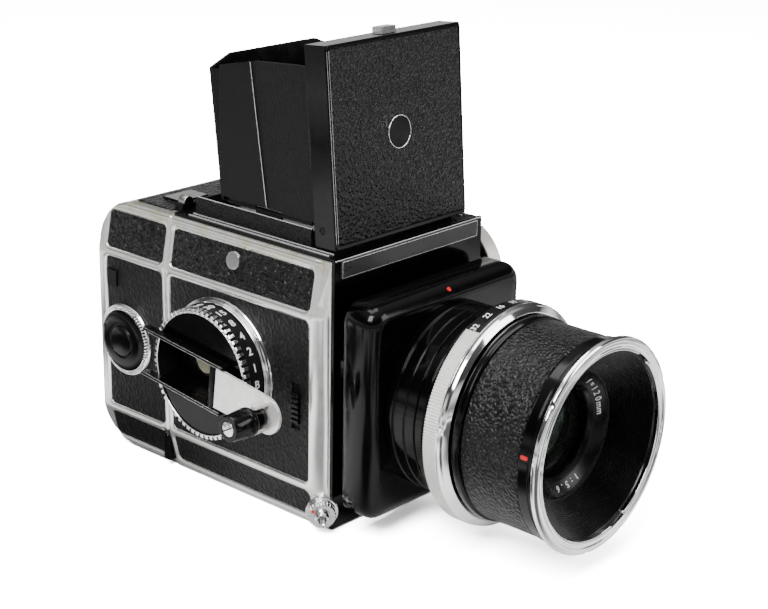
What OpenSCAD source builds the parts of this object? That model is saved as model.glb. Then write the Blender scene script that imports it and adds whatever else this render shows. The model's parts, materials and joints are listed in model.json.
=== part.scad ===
// Medium-format single-lens reflex camera with a sliding, tilting front standard.
// X runs across the camera, the lens looks along -Y, Z is up. Z = 0 is the base,
// X = 0 the lens plane and Y = 0 the front edge of the side frames.

/* [Body] */
// Width across the middle of the body
body_w = 87.5; // [86:0.5:90]
// Width across the top and the bottom of the body
edge_w = 79.8; // [78:0.2:82]
// Height of the body
body_h = 101.4; // [101:0.2:103]
// Depth of the body from its front edge to the magazine
body_d = 82.2; // [82:0.1:83]
// Height of the lower crease in the sides
low_crease = 15.9; // [14:0.1:18]
// Drop from the top of the body to the upper crease
high_drop = 20.3; // [18:0.1:22]
// Thickness of the covering leather
leather_t = 0.9; // [0.6:0.1:1.2]

/* [Magazine] */
// Depth of the magazine
magazine_d = 39.2; // [39:0.1:41]
// Radius of the rear corners of the magazine
magazine_r = 15; // [12:0.5:16]

/* [Front standard and lens] */
// Height of the lens axis above the base
axis_z = 47.83; // [47:0.1:49]
// Front face of the standard, forward of the body
standard_front = 21.1; // [21:0.1:22]
// Back face of the standard, forward of the body
standard_back = 7.2; // [7:0.1:7.5]
// Radius of the knurled aperture ring
aperture_r = 40.9; // [40:0.1:42]
// Radius of the lens barrel over its leather
barrel_r = 36.3; // [36:0.1:37]
// Radius of the front bayonet ring
bayonet_r = 38.5; // [38:0.1:39]

/* [Speed dial and crank] */
// Distance of the dial centre behind the front edge
dial_y = 51.7; // [50:0.1:53]
// Height of the dial centre
dial_z = 50.4; // [49:0.1:51]
// Radius of the toothed dial ring
dial_r = 25; // [24.5:0.1:25.5]
// Downward slope of the crank in degrees
crank_slope = 6.5; // [0:0.5:10]

/* [Hood] */
// Width of the hood lid
lid_w = 70.4; // [70:0.1:71]
// Height of the hood lid
lid_h = 71; // [68:0.5:72]
// Backward lean of the hood lid in degrees
lid_lean = 4.8; // [4:0.1:5]
// Backward lean of the rear panel in degrees
rear_lean = 6.7; // [6:0.1:7]

/* [Hidden] */
$fn = 72;
// Running clearance between a shaft and its bore
fit = 0.06;
top_z = body_h + 1.1;
split_y = body_d + 0.1;
back_y = split_y + magazine_d;
high_crease = body_h - high_drop;
low_slope = atan((body_w - edge_w) / 2 / low_crease);
high_slope = atan((body_w - edge_w) / 2 / high_drop);
high_len = high_drop / cos(high_slope);
low_len = low_crease / cos(low_slope);
side_wall = 4;
face_x = -body_w / 2;
// Radius of the rounded front edge of the side frames, which ends 0.25 mm inside the front plate
front_run = 8;
front_step = (body_w - 80) / 2;
front_r = (front_step * front_step + front_run * front_run) / (2 * front_step);
pinion_y = 21.5;
pinion_z = 74;
pinion_pitch_r = 8;
// Radius of the focusing knob
knob_r = 21;
tooth_pitch = PI;
rack_top = pinion_z - pinion_pitch_r + 0.25;
tilt_y = -13;
mirror_y = 68;
mirror_z = 80;
fold_y = 42;
arm_x = -57.4;
// The crank lies between two rails
rail_in = 8.4;
rail_out = 9.7;
handle_y = 14.5;
handle_x = arm_x - 6.1;
lid_y = 9.15;
lid_z = 110.15;
left_leaf_z = 110.8;
right_leaf_z = 109.2;
leaf_x = 33.1;
rear_y = 62.6;
rear_z = 107.2;
knob_y = 106;
knob_z = 47;
spool_y = 102.5;
roller_y = 75.2;
roller_r = 3.2;
roller_shaft_r = 1.2;
low_spool_z = 19.5;
high_spool_z = 81.5;
door_y = back_y - 1.7;
door_z = 14.5;
release_at = [-41.2, 2.6, 7.2];

// Extrudes an outline in X and Z from y0 back to y1
module along_y(y0, y1) {
    translate([0, y1, 0]) rotate([90, 0, 0]) linear_extrude(y1 - y0) children();
}

// Extrudes an outline in Y and Z from x0 to x1
module along_x(x0, x1) {
    translate([x0, 0, 0]) rotate([90, 0, 90]) linear_extrude(x1 - x0) children();
}

// A box given by its two opposite corners
module box(low, high) {
    translate(low) cube(high - low);
}

// A cylinder along X from x0 to x1
module rod_x(x0, x1, y, z, r) {
    translate([x0, y, z]) rotate([0, 90, 0]) cylinder(h = x1 - x0, r = r);
}

// A cylinder along Y from y0 to y1
module rod_y(y0, y1, x, z, r) {
    translate([x, y1, z]) rotate([90, 0, 0]) cylinder(h = y1 - y0, r = r);
}

// Turns an outline of radius against Y about the lens axis
module lens_turn() {
    translate([0, 0, axis_z]) rotate([-90, 0, 0]) rotate_extrude() children();
}

// A rectangle with rounded corners
module soft_square(low, high, r) {
    square_size = high - low;
    translate(low + [r, 0]) square([square_size[0] - 2 * r, square_size[1]]);
    translate(low + [0, r]) square([square_size[0], square_size[1] - 2 * r]);
    for (x = [low[0] + r, high[0] - r], y = [low[1] + r, high[1] - r])
        translate([x, y]) circle(r);
}

// Cross-section of the body and magazine, set in by a wall
module body_outline(wall) {
    mid = body_w / 2 - wall;
    edge = edge_w / 2 - wall;
    polygon([[-edge, wall], [edge, wall], [mid, low_crease], [mid, high_crease],
        [edge, body_h - wall], [-edge, body_h - wall], [-mid, high_crease], [-mid, low_crease]]);
}

// Plan of the body with rounded front edges
module body_plan() {
    translate([-body_w / 2, front_run]) square([body_w, body_d - front_run]);
    intersection() {
        translate([-body_w / 2, 0]) square([body_w, front_run]);
        union() {
            for (s = [-1, 1]) translate([s * (body_w / 2 - front_r), front_run]) circle(front_r);
            translate([front_r - body_w / 2, 0]) square([body_w - 2 * front_r, front_run]);
        }
    }
}

// One sunk panel on a side, in the plane of that side: level 1 upper, 0 middle, -1 lower
module side_panel(side, level, y0, y1, depth, over) {
    crease = level > 0 ? high_crease : low_crease;
    slope = level > 0 ? -high_slope : (level < 0 ? low_slope : 0);
    low = level > 0 ? 1.8 : (level < 0 ? 3.6 - low_len : 1.8);
    high = level > 0 ? high_len - 4.2 : (level < 0 ? -1.8 : high_crease - low_crease - 1.8);
    translate([side * body_w / 2, 0, crease]) rotate([0, side * slope, 0])
        translate([side > 0 ? -depth : -over, 0, 0])
            along_x(0, depth + over) soft_square([y0, low], [y1, high], 2);
}

// All three panels of one side
module side_panels(side, y0, y1, depth, over = 0) {
    for (level = [-1, 0, 1]) side_panel(side, level, y0, y1, depth, over);
}

// Places children in the frame of the upper facet, with X outward
module on_upper_facet(side, y, up) {
    translate([side * body_w / 2, y, high_crease]) rotate([0, -side * high_slope, 0])
        translate([0, 0, up]) rotate([0, side * 90, 0]) children();
}

// Places children on the release axis, with Z pointing out of the front corner
module on_release() {
    translate(release_at) rotate([0, 0, -45]) rotate([90, 0, 0]) children();
}

// Turns children about the dial centre to the slope of the crank
module on_crank() {
    translate([0, dial_y, dial_z]) rotate([crank_slope, 0, 0]) translate([0, -dial_y, -dial_z])
        children();
}

// Places children in the frame of the lid: Y inward from its face, Z up along it
module on_lid() {
    translate([0, 2.8, 104]) rotate([-lid_lean, 0, 0]) children();
}

module body_casting() {
    color("silver") difference() {
        intersection() {
            along_y(0, body_d) body_outline(0);
            linear_extrude(body_h) body_plan();
        }
        along_y(10, body_d - 3.2) body_outline(side_wall);
        box([-37.5, -1, 12], [37.5, 11, 92]);
        box([-38.8, -1, 59], [38.8, 11, 67.4]);
        box([-28, body_d - 4, axis_z - 28], [28, body_d + 1, axis_z + 28]);
        box([-29, 12, body_h - 5], [29, 72, body_h + 1]);
        for (side = [-1, 1]) side_panels(side, front_run - 0.9, body_d - 2.2, leather_t, 1);
        rod_x(face_x - 1, face_x + 6, dial_y, dial_z, 4 + fit);
        rod_x(38, body_w / 2 + 1, pinion_y, pinion_z, 3 + fit);
        translate([0, 30, -1]) cylinder(h = side_wall + 2, r = 9);
        on_release() translate([0, 0, -8]) cylinder(h = 16, r = 3);
        on_release() translate([0, 0, -0.2]) cylinder(h = 10, r = 6.1);
        for (s = [-1, 1]) rod_x(s * 38 - 3, s * 38 + 3, mirror_y, mirror_z, 1.2);
    }
}

module side_leather(side) {
    color([0.07, 0.07, 0.07]) difference() {
        side_panels(side, front_run - 0.8, body_d - 2.3, leather_t);
        rod_x(side * 44 - 3, side * 44 + 3, side < 0 ? dial_y : pinion_y,
            side < 0 ? dial_z : pinion_z, side < 0 ? 24 : 6);
        if (side < 0) box([face_x - 1, 11.3, 36.8], [face_x + 2, 15.7, 54.7]);
        on_upper_facet(side, 44.4, 12.1) translate([0, 0, -2]) cylinder(h = 4, r = 2);
    }
}

module front_plate() {
    color([0.05, 0.05, 0.05]) difference() {
        along_y(-1.4, 0) difference() {
            translate([-40.1, 0.6]) square([80.2, top_z - 0.6]);
            translate([-32, 14]) square([64, 70]);
            translate([-38.8, 59]) square([77.6, 8.4]);
        }
        on_release() translate([0, 0, -0.2]) cylinder(h = 10, r = 6.1);
    }
}

module name_plate() {
    color([0.25, 0.26, 0.27]) along_y(-2.1, -1.4) soft_square([-37, 95.4], [37, 101.9], 0.6);
}

module top_plate() {
    color([0.06, 0.06, 0.06]) difference() {
        box([-38.9, 0, body_h], [38.9, body_d, top_z]);
        box([-32.4, 9, body_h - 1], [32.4, 74, top_z + 1]);
    }
}

// Steel insert with the tripod thread
module tripod_bush() {
    color("gainsboro") translate([0, 30, 0]) difference() {
        union() {
            cylinder(h = side_wall, r = 8.9);
            translate([0, 0, side_wall]) cylinder(h = 5, r = 12);
        }
        translate([0, 0, -1]) cylinder(h = side_wall + 7, r = 4.2);
    }
}

module strap_studs() {
    color("gainsboro") for (side = [-1, 1]) on_upper_facet(side, 44.4, 12.1) {
        translate([0, 0, -leather_t]) cylinder(h = 2.4, r = 1.9);
        translate([0, 0, 1.5]) cylinder(h = 1.1, r1 = 2.4, r2 = 3.3);
        translate([0, 0, 2.6]) cylinder(h = 0.9, r = 3.3);
    }
}

module mirror_box() {
    color([0.1, 0.1, 0.1]) difference() {
        box([-31.5, 10.5, 9.5], [31.5, 71.6, 97]);
        box([-30, 9, 11], [30, 73, 98]);
        rod_x(-33, 33, mirror_y, mirror_z, 1.2);
    }
}

// Mirror on its carrier at 45 degrees, with the pivot pin it swings on
module reflex_mirror() {
    color("lightsteelblue") {
        translate([0, mirror_y, mirror_z]) rotate([45, 0, 0])
            box([-29, -60, 0], [29, -1, 1.6]);
        rod_x(-40, 40, mirror_y, mirror_z, 1.2 - fit);
    }
}

module focusing_screen() {
    color("lightcyan") box([-28.9, 12.1, 98], [28.9, 71.9, 99.6]);
}

module shutter_curtain() {
    color("black") box([-29.5, 76.4, 14.5], [29.5, 76.8, 81.5]);
}

module curtain_roller(z) {
    color("dimgray") {
        rod_x(-32, 32, roller_y, z, roller_r);
        rod_x(-37, 37, roller_y, z, roller_shaft_r);
    }
}

// Outline of the toothed upper rail: a gap of the rack lies right under the pinion
module rack_outline() {
    last = floor((74 - pinion_y) / tooth_pitch);
    difference() {
        translate([-8, rack_top - 6.2]) square([84, 6.2]);
        for (i = [0:last])
            translate([pinion_y + i * tooth_pitch - 1.05, rack_top - 1]) square([2.1, 2]);
    }
}

// Two rails with the arms that carry the standard on their pivots
module focusing_rails() {
    color("slategray") {
        along_x(33.4, 38.2) rack_outline();
        box([-38.2, -8, rack_top - 6.2], [-33.4, 76, rack_top]);
        for (s = [-1, 1]) {
            difference() {
                box([s * 35.8 - 2.4, -16, axis_z - 4], [s * 35.8 + 2.4, -8, rack_top]);
                rod_x(s * 35.8 - 4, s * 35.8 + 4, tilt_y, axis_z, 1.5 + fit);
            }
        }
    }
}

// Knob, shaft and toothed pinion
module focusing_knob() {
    color([0.75, 0.76, 0.76]) {
        rod_x(32.6, 49, pinion_y, pinion_z, 3);
        rod_x(49, 50.5, pinion_y, pinion_z, knob_r - 4);
        difference() {
            rod_x(50.5, 57, pinion_y, pinion_z, knob_r);
            rod_x(55.6, 58, pinion_y, pinion_z, knob_r - 5);
        }
        along_x(33.6, 38) translate([pinion_y, pinion_z]) {
            circle(7.2);
            for (i = [0:15]) rotate(i * 22.5)
                polygon([[-0.75, -7], [0.75, -7], [0.45, -8.2], [-0.45, -8.2]]);
        }
    }
}

// Pleated light-tight sleeve between the standard and the body
module bellows() {
    color([0.08, 0.08, 0.08]) along_y(-8.4, 8) difference() {
        soft_square([-29.5, axis_z - 29.5], [29.5, axis_z + 29.5], 3);
        soft_square([-26, axis_z - 26], [26, axis_z + 26], 3);
    }
}

module standard_housing() {
    low = 8.7;
    high = 88.9;
    wide = 41.5;
    color([0.04, 0.04, 0.04]) difference() {
        intersection() {
            along_y(-standard_front, -standard_back) soft_square([-wide, low], [wide, high], 7);
            translate([0, 0, low - 1]) linear_extrude(high - low + 2)
                soft_square([-wide, -standard_front], [wide, 8], 5);
            along_x(-wide - 1, wide + 1) soft_square([-standard_front, low], [8, high], 5);
        }
        box([-39, -18.6, 12], [39, 0, 86]);
        rod_y(-standard_front - 1, -17, 0, axis_z, 31);
    }
    color([0.3, 0.3, 0.3]) for (s = [-1, 1])
        rod_x(s * 36 - 3.4, s * 36 + 3.4, tilt_y, axis_z, 1.5);
}

// Rear tube of the lens with its bayonet behind the standard's front wall
module lens_rear_tube() {
    color([0.05, 0.05, 0.05]) lens_turn() difference() {
        union() {
            translate([28.96, -43.2]) square([6.04, 43.15 - standard_front]);
            translate([28.96, -standard_front - 0.05]) square([1.98, 3]);
        }
        for (y = [-25, -33.5]) translate([34.4, y]) square([1, 0.8]);
    }
}

// Knurled ring with a bevelled front edge
module aperture_ring() {
    color("gainsboro") lens_turn() polygon([[28.96, -43.3], [aperture_r, -43.3],
        [aperture_r, -50.6], [aperture_r - 1.9, -52.5], [28.96, -52.5]]);
}

// Inner barrel that holds the glass and the iris
module lens_core() {
    color([0.1, 0.1, 0.1]) lens_turn() polygon([[16, -23.5], [28.9, -23.5], [28.9, -52.6],
        [33.4, -52.6], [33.4, -72.8], [22.9, -72.8], [22.9, -70.4], [16.6, -70.4], [16.6, -54],
        [27, -54], [27, -47], [16, -47]]);
}

module lens_barrel() {
    color([0.06, 0.06, 0.06]) lens_turn() polygon([[33.4, -52.7], [barrel_r + 1.2, -52.7],
        [barrel_r + 1.2, -56], [barrel_r - 0.9, -56], [barrel_r - 0.9, -80.5],
        [barrel_r + 0.7, -80.5], [barrel_r + 0.7, -87], [33.4, -87]]);
}

module barrel_leather() {
    color([0.07, 0.07, 0.07]) lens_turn()
        translate([barrel_r - 0.9, -80.5]) square([0.9, 24.5]);
}

// Bayonet ring at the front, with three slots for a lens hood
module front_bayonet_ring() {
    color("gainsboro") difference() {
        lens_turn() polygon([[34, -87], [bayonet_r - 0.8, -87], [bayonet_r, -87.6],
            [bayonet_r, -88.6], [bayonet_r - 0.8, -89.4], [34, -89.4]]);
        for (a = [20, 140, 260]) translate([0, 0, axis_z]) rotate([0, a, 0])
            box([32.5, -90, -2.4], [34.7, -86.9, 2.4]);
    }
}

// Stepped cone that traps stray light
module baffle_cone() {
    color([0.05, 0.05, 0.05]) lens_turn() polygon([[33.35, -87], [33.35, -72.85],
        [22.95, -72.85], [22.95, -74.9], [32.4, -87]]);
}

module letter_ring() {
    color([0.06, 0.06, 0.06]) lens_turn() polygon([[16.6, -70.45], [22.85, -70.45],
        [22.85, -74.8], [16.6, -70.6]]);
}

module front_glass() {
    color("lightblue") lens_turn() intersection() {
        translate([0, -70.3]) square([16.5, 8]);
        translate([0, -29.2]) circle(41.1);
    }
}

module rear_glass() {
    color("lightblue") lens_turn() intersection() {
        translate([0, -32]) square([15.9, 6]);
        translate([0, -60]) circle(34);
    }
}

// One crescent of the iris, in its own layer
module iris_blade(i) {
    y = -53.2 + 1.05 * i;
    color("dimgray") translate([0, 0, axis_z]) rotate([0, -72 * i, 0]) translate([0, 0, -axis_z])
        along_y(y, y + 0.6) translate([0, axis_z]) intersection() {
            difference() {
                circle(25.9);
                circle(16.9);
                rotate(6) translate([23.5, 0]) circle(0.8);
            }
            polygon([[0, 0], 40 * [cos(0), sin(0)], 40 * [cos(50), sin(50)],
                40 * [cos(100), sin(100)]]);
        }
}

module dial_outer_ring() {
    color("gainsboro") difference() {
        rod_x(face_x - 3.2, face_x, dial_y, dial_z, 26.7);
        rod_x(face_x - 4, face_x + 1, dial_y, dial_z, dial_r + 0.1);
    }
}

// Number drum and its toothed rim
module speed_dial() {
    start = face_x - 0.1;
    color([0.06, 0.06, 0.06]) difference() {
        union() {
            translate([start, dial_y, dial_z]) rotate([0, -90, 0])
                cylinder(h = 9.8, r1 = dial_r - 0.1, r2 = dial_r - 0.9);
            rod_x(start - 11.5, start - 9.8, dial_y, dial_z, dial_r);
        }
        rod_x(start - 13, start - 1.2, dial_y, dial_z, 23.1);
        rod_x(start - 3, start + 1, dial_y, dial_z, 4 + fit);
    }
}

// Crank disc with its channel and shaft
module crank_body() {
    floor_x = face_x - 1.4;
    color([0.05, 0.05, 0.05]) on_crank() {
        difference() {
            union() {
                rod_x(-54.8, floor_x, dial_y, dial_z, 23);
                box([-58.8, dial_y - 15, dial_z - rail_out], [-55.5, dial_y + 28, dial_z + rail_out]);
                intersection() {
                    rod_x(-55.5, floor_x, dial_y, dial_z, 23);
                    box([-56, 0, dial_z - rail_out], [floor_x, 100, dial_z + rail_out]);
                }
            }
            box([-60, dial_y - 19, dial_z - rail_in], [-55.6, dial_y + 32, dial_z + rail_in]);
            box([-56, fold_y - 4, dial_z - rail_in], [floor_x - 0.6, dial_y + 32, dial_z + rail_in]);
        }
        rod_x(floor_x - 0.6, -37, dial_y, dial_z, 4);
        translate([arm_x, fold_y, dial_z - rail_in]) cylinder(h = 2 * rail_in, r = 0.9);
    }
}

// Plate that folds over on the pin in the channel
module crank_arm() {
    half = rail_in - 0.3;
    color("gainsboro") on_crank() difference() {
        union() {
            translate([0, 0, dial_z]) along_x(arm_x - 0.6, arm_x + 0.6) {
                polygon([[fold_y + 3, -half], [fold_y + 3, half], [fold_y - 12, half],
                    [handle_y, 7.2], [handle_y, -7.2], [fold_y - 12, -half]]);
                translate([handle_y, 0]) circle(7.2);
            }
            translate([arm_x, fold_y, dial_z - half]) cylinder(h = 2 * half, r = 1.6);
            for (s = [-1, 1]) box([handle_x, handle_y - 1.4, dial_z + s * 5 - 0.7],
                [arm_x, handle_y + 1.4, dial_z + s * 5 + 0.7]);
            for (s = [-1, 1]) translate([handle_x, handle_y, dial_z + s * 5 - 0.7])
                cylinder(h = 1.4, r = 1.4);
        }
        translate([arm_x, fold_y, dial_z - 9]) cylinder(h = 18, r = 0.9 + fit);
        translate([handle_x, handle_y, dial_z - 8]) cylinder(h = 16, r = 0.6);
    }
}

// Tapered grip that turns down on its knuckle, with its end screw
module crank_handle() {
    color([0.05, 0.05, 0.05]) on_crank() {
        translate([handle_x, handle_y, dial_z - 4.1]) cylinder(h = 8.2, r = 4.4);
        translate([handle_x, handle_y, dial_z - 5.8]) cylinder(h = 11.6, r = 0.6 - fit);
        translate([handle_x, handle_y, dial_z]) rotate([0, -90, 0]) {
            translate([0, 0, 1.6]) cylinder(h = 2.6, r = 4.9);
            translate([0, 0, 4.2]) cylinder(h = 8.1, r1 = 5.35, r2 = 4.8);
            translate([0, 0, 12.3]) cylinder(h = 0.5, r = 3);
        }
    }
}

module release_collar() {
    color("gainsboro") on_release() difference() {
        translate([0, 0, -0.2]) cylinder(h = 2.2, r = 6);
        translate([0, 0, -1]) cylinder(h = 4, r = 3);
    }
}

module release_lock_ring() {
    color("gainsboro") on_release() difference() {
        translate([0, 0, 2.1]) cylinder(h = 2.6, r = 5);
        translate([0, 0, 1]) cylinder(h = 5, r = 3.3);
    }
}

// Release plunger with a cable thread in its tip
module release_button() {
    color("gainsboro") on_release() difference() {
        union() {
            translate([0, 0, -5]) cylinder(h = 12, r = 3 - fit);
            translate([0, 0, 7]) cylinder(h = 1, r1 = 3 - fit, r2 = 2.2);
        }
        translate([0, 0, 3]) cylinder(h = 6, r = 1.5);
    }
}

// Ribbed slide that works in its window through the leather
module multiple_exposure_slide() {
    color([0.05, 0.05, 0.05]) {
        box([face_x + 0.2, 11.6, 39], [face_x + leather_t - 0.1, 15.4, 51]);
        for (i = [0:5]) box([face_x - 0.9, 11.6, 39.4 + 2 * i], [face_x + 0.2, 15.4, 40.6 + 2 * i]);
    }
}

// Side view of the magazine with rounded rear corners
module magazine_side(inset) {
    r = magazine_r - inset;
    low = [split_y, inset];
    high = [back_y - inset, body_h - inset];
    translate(low) square([high[0] - low[0] - r, high[1] - low[1]]);
    translate([split_y, low[1] + r]) square([high[0] - low[0], high[1] - low[1] - 2 * r]);
    for (z = [low[1] + r, high[1] - r]) translate([high[0] - r, z]) circle(r);
}

module magazine_shell() {
    color("silver") difference() {
        intersection() {
            along_y(split_y, back_y) body_outline(0);
            along_x(-body_w / 2, body_w / 2) magazine_side(0);
        }
        intersection() {
            along_y(split_y + 4, back_y) body_outline(3);
            along_x(-body_w / 2, body_w / 2) magazine_side(3);
        }
        box([-28, split_y - 1, axis_z - 28], [28, split_y + 5, axis_z + 28]);
        box([-31, split_y + 2.5, 16.6], [body_w, split_y + 3.4, 79]);
        box([-36, back_y - 3.5, 12], [36, back_y + 1, 86]);
        side_panels(-1, split_y + 2.1, back_y - 4.5, leather_t, 1);
        side_panels(1, split_y + 5.6, back_y - 4.5, leather_t, 1);
        rod_x(face_x - 1, face_x + 6, knob_y, knob_z, 3 + fit);
        box([-44, split_y - 1, 2.4], [-38.6, split_y + 3.6, 15.3]);
    }
}

// Leather panels on the sides and the top of the magazine
module magazine_leather() {
    color([0.07, 0.07, 0.07]) {
        difference() {
            side_panels(-1, split_y + 2.2, back_y - 4.6, leather_t);
            rod_x(face_x - 1, face_x + 3, knob_y, knob_z, 3.5);
            box([-45, split_y - 1, 2.4], [-38.6, split_y + 3.7, 15.3]);
        }
        side_panels(1, split_y + 5.7, back_y - 4.6, leather_t);
        difference() {
            box([-35.8, split_y + 5, body_h], [35.8, back_y - magazine_r, body_h + 0.6]);
            box([-27.5, 91.5, body_h - 1], [-12.5, 102.5, body_h + 1]);
        }
    }
}

// Winding knob with its toothed base and shaft
module film_knob() {
    color([0.06, 0.06, 0.06]) {
        rod_x(face_x - 1.4, face_x - 0.1, knob_y, knob_z, 14.5);
        rod_x(face_x - 3.2, face_x - 1.4, knob_y, knob_z, 12.9);
        rod_x(face_x - 3.6, face_x - 3.2, knob_y, knob_z, 6.4);
        rod_x(face_x - 0.1, -33, knob_y, knob_z, 3);
    }
}

// Back door on a pin along its lower edge
module magazine_door() {
    color([0.07, 0.07, 0.07]) {
        box([-35.7, back_y - 3.3, 16.2], [35.7, back_y, 85.7]);
        rod_x(-35.7, 35.7, door_y, door_z, 1.2);
        box([-35.7, door_y - 0.9, door_z], [35.7, door_y + 0.9, 16.2]);
        rod_x(-5, 5, back_y - 1.2, 82, 1.6);
    }
}

// Sheet that covers the film, with its pull tab
module dark_slide() {
    color("lightgray") {
        box([-30.8, split_y + 2.6, 17], [46, split_y + 3.3, 78.6]);
        box([46, split_y + 1.9, 38], [48, split_y + 4, 58]);
    }
}

module spool(z) {
    color([0.12, 0.12, 0.12]) {
        rod_x(-32.5, 32.5, spool_y, z, 6);
        for (s = [-1, 1]) rod_x(s * 31.9 - 0.6, s * 31.9 + 0.6, spool_y, z, 12.4);
        rod_x(-38, 38, spool_y, z, 2);
    }
}

module pressure_plate() {
    color("silver") {
        box([-31, split_y + 5, 20.2], [31, split_y + 6.2, 75.5]);
        for (z = [34, 62]) box([-12, split_y + 6.2, z], [12, split_y + 7.2, z + 4]);
    }
}

module magazine_catch() {
    color([0.05, 0.05, 0.05])
        box([-43.8, split_y + 0.2, 2.6], [-38.8, split_y + 3.4, 11.6]);
}

// Exposure window, memo plate and the upper locking hook
module magazine_fittings() {
    color([0.4, 0.4, 0.4]) {
        box([face_x - 0.7, 111, 67.6], [face_x, 116.4, 74]);
        box([-27, 92, body_h], [-13, 102, body_h + 1]);
        box([-34.5, split_y + 0.2, body_h], [-27.5, split_y + 4.6, body_h + 3]);
        rod_y(split_y + 0.6, split_y + 4.2, -31, body_h + 3.4, 2.2);
    }
}

// Frame of the hood with ears for the lid and tabs for the leaf hinges
module hood_base() {
    wall_top = 108.2;
    color([0.05, 0.05, 0.05]) difference() {
        union() {
            difference() {
                box([-33.5, 8, top_z], [33.5, 75, wall_top]);
                box([-32.5, 9, top_z - 1], [32.5, 74, wall_top + 1]);
                box([-32.5, 7, 105.8], [32.5, 10, wall_top + 1]);
            }
            for (s = [-1, 1]) {
                box([s * 33.4 - 0.5, 6.4, 105], [s * 33.4 + 0.5, 11.8, 110.15]);
                rod_x(s * 33.4 - 0.5, s * 33.4 + 0.5, lid_y, lid_z, 2.6);
                z = s < 0 ? left_leaf_z : right_leaf_z;
                box([s * leaf_x - 0.4, 31, wall_top - 1], [s * leaf_x + 0.4, 44, z]);
                rod_y(31, 44, s * leaf_x, z, 0.8);
            }
        }
        rod_x(-40, 40, lid_y, lid_z, 1.2);
        rod_x(-40, 40, rear_y, rear_z, 0.6);
        rod_y(8, 74, -leaf_x, left_leaf_z, 0.4);
        rod_y(8, 74, leaf_x, right_leaf_z, 0.4);
    }
}

// Pins of the lid and of the two leaves
module hood_pins() {
    color("gainsboro") {
        for (s = [-1, 1]) rod_x(s * 34 - 1.1, s * 34 + 1.1, lid_y, lid_z, 1.2 - fit);
        rod_y(15, 60, -leaf_x, left_leaf_z, 0.4 - fit / 2);
        rod_y(15, 60, leaf_x, right_leaf_z, 0.4 - fit / 2);
    }
}

module hood_lid() {
    half = lid_w / 2;
    color([0.05, 0.05, 0.05]) difference() {
        on_lid() {
            box([-half, 0, 0], [half, 1.2, lid_h]);
            for (s = [-1, 1]) box([s * (half - 0.5) - 0.5, 1, 0], [s * (half - 0.5) + 0.5, 9.7, lid_h]);
            box([-half, 1, lid_h - 1], [half, 9.7, lid_h]);
            for (s = [-1, 1]) box([s * 23.6 - 0.5, 1.1, 57], [s * 23.6 + 0.5, 5.2, 62.4]);
        }
        rod_x(-40, 40, lid_y, lid_z, 1.2);
        on_lid() rod_x(-30, 30, 3.2, 60, 0.7);
        on_lid() box([-2.8, 3, lid_h - 2], [4.4, 5.4, lid_h + 1]);
    }
}

// Sliding catch on the top edge of the lid
module hood_latch() {
    color("gainsboro") on_lid() {
        box([-4.5, 2, lid_h + 0.1], [3, 6.5, lid_h + 2.6]);
        box([-2.5, 3.2, lid_h - 1.8], [1.2, 5.2, lid_h + 0.1]);
    }
}

// Side leaf: an inner sheet with a smooth outer plate over its rear half
module hood_leaf(side, z) {
    top = 160.5;
    slant = tan(rear_lean);
    color([0.06, 0.06, 0.06]) difference() {
        union() {
            along_x(side * leaf_x - 0.4, side * leaf_x + 0.4) polygon([[14, z + 1.2],
                [62, z + 1.2], [62, top - 0.4], [44, 164.4], [23, 166], [18.2, 166]]);
            along_x(side > 0 ? leaf_x + 0.4 : -leaf_x - 0.9, side > 0 ? leaf_x + 0.9 : -leaf_x - 0.4)
                polygon([[38, z + 1.6], [62, z + 1.6], [62, top], [46, 164]]);
            for (y = [[16, 30.8], [44.2, 58]]) {
                rod_y(y[0], y[1], side * leaf_x, z, 0.8);
                box([side * leaf_x - 0.4, y[0], z], [side * leaf_x + 0.4, y[1], z + 1.3]);
            }
        }
        rod_y(10, 70, side * leaf_x, z, 0.4);
    }
}

// Rear panel with side rims that close the wedge behind the leaves
module hood_rear_panel() {
    length = 55.5;
    color([0.06, 0.06, 0.06]) translate([0, rear_y, rear_z]) rotate([-rear_lean, 0, 0]) {
        along_y(-0.6, 0.6) polygon([[-32.2, 0], [32.2, 0], [32.2, length - 4],
            [22, length], [-22, length], [-32.2, length - 4]]);
        for (s = [-1, 1]) along_x(s * 31.8 - 0.4, s * 31.8 + 0.4)
            polygon([[-0.5, 8], [-0.5, length - 4.4], [-4.7, length - 4.4]]);
        rod_x(-33.3, 33.3, 0, 0, 0.6 - fit / 2);
    }
}

// Focusing magnifier folded against the lid
module hood_magnifier() {
    color([0.2, 0.2, 0.2]) on_lid() difference() {
        union() {
            along_y(1.6, 4.8) soft_square([-22, 30], [22, 58.4], 4);
            for (s = [-1, 1]) box([s * 22 - 1, 2.2, 56], [s * 22 + 1, 4.2, 60]);
            rod_x(-23, 23, 3.2, 60, 1);
            rod_x(-24.2, 24.2, 3.2, 60, 0.7 - fit);
        }
        rod_y(1, 5, 0, 44, 12);
    }
    color("lightblue") on_lid() rod_y(1.9, 4.5, 0, 44, 12);
}

body_casting();
side_leather(-1);  // side_leather_left
side_leather(1);  // side_leather_right
front_plate();
name_plate();
top_plate();
tripod_bush();
strap_studs();
mirror_box();
reflex_mirror();
focusing_screen();
shutter_curtain();
curtain_roller(88);  // curtain_roller_top
curtain_roller(9);  // curtain_roller_bottom
focusing_rails();
focusing_knob();
bellows();
standard_housing();
lens_rear_tube();
aperture_ring();
lens_core();
lens_barrel();
barrel_leather();
front_bayonet_ring();
baffle_cone();
letter_ring();
front_glass();
rear_glass();
iris_blade(1);  // iris_blade_1
iris_blade(2);  // iris_blade_2
iris_blade(3);  // iris_blade_3
iris_blade(4);  // iris_blade_4
iris_blade(5);  // iris_blade_5
dial_outer_ring();
speed_dial();
crank_body();
crank_arm();
crank_handle();
release_collar();
release_lock_ring();
release_button();
multiple_exposure_slide();
magazine_shell();
magazine_leather();
film_knob();
magazine_door();
dark_slide();
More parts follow.
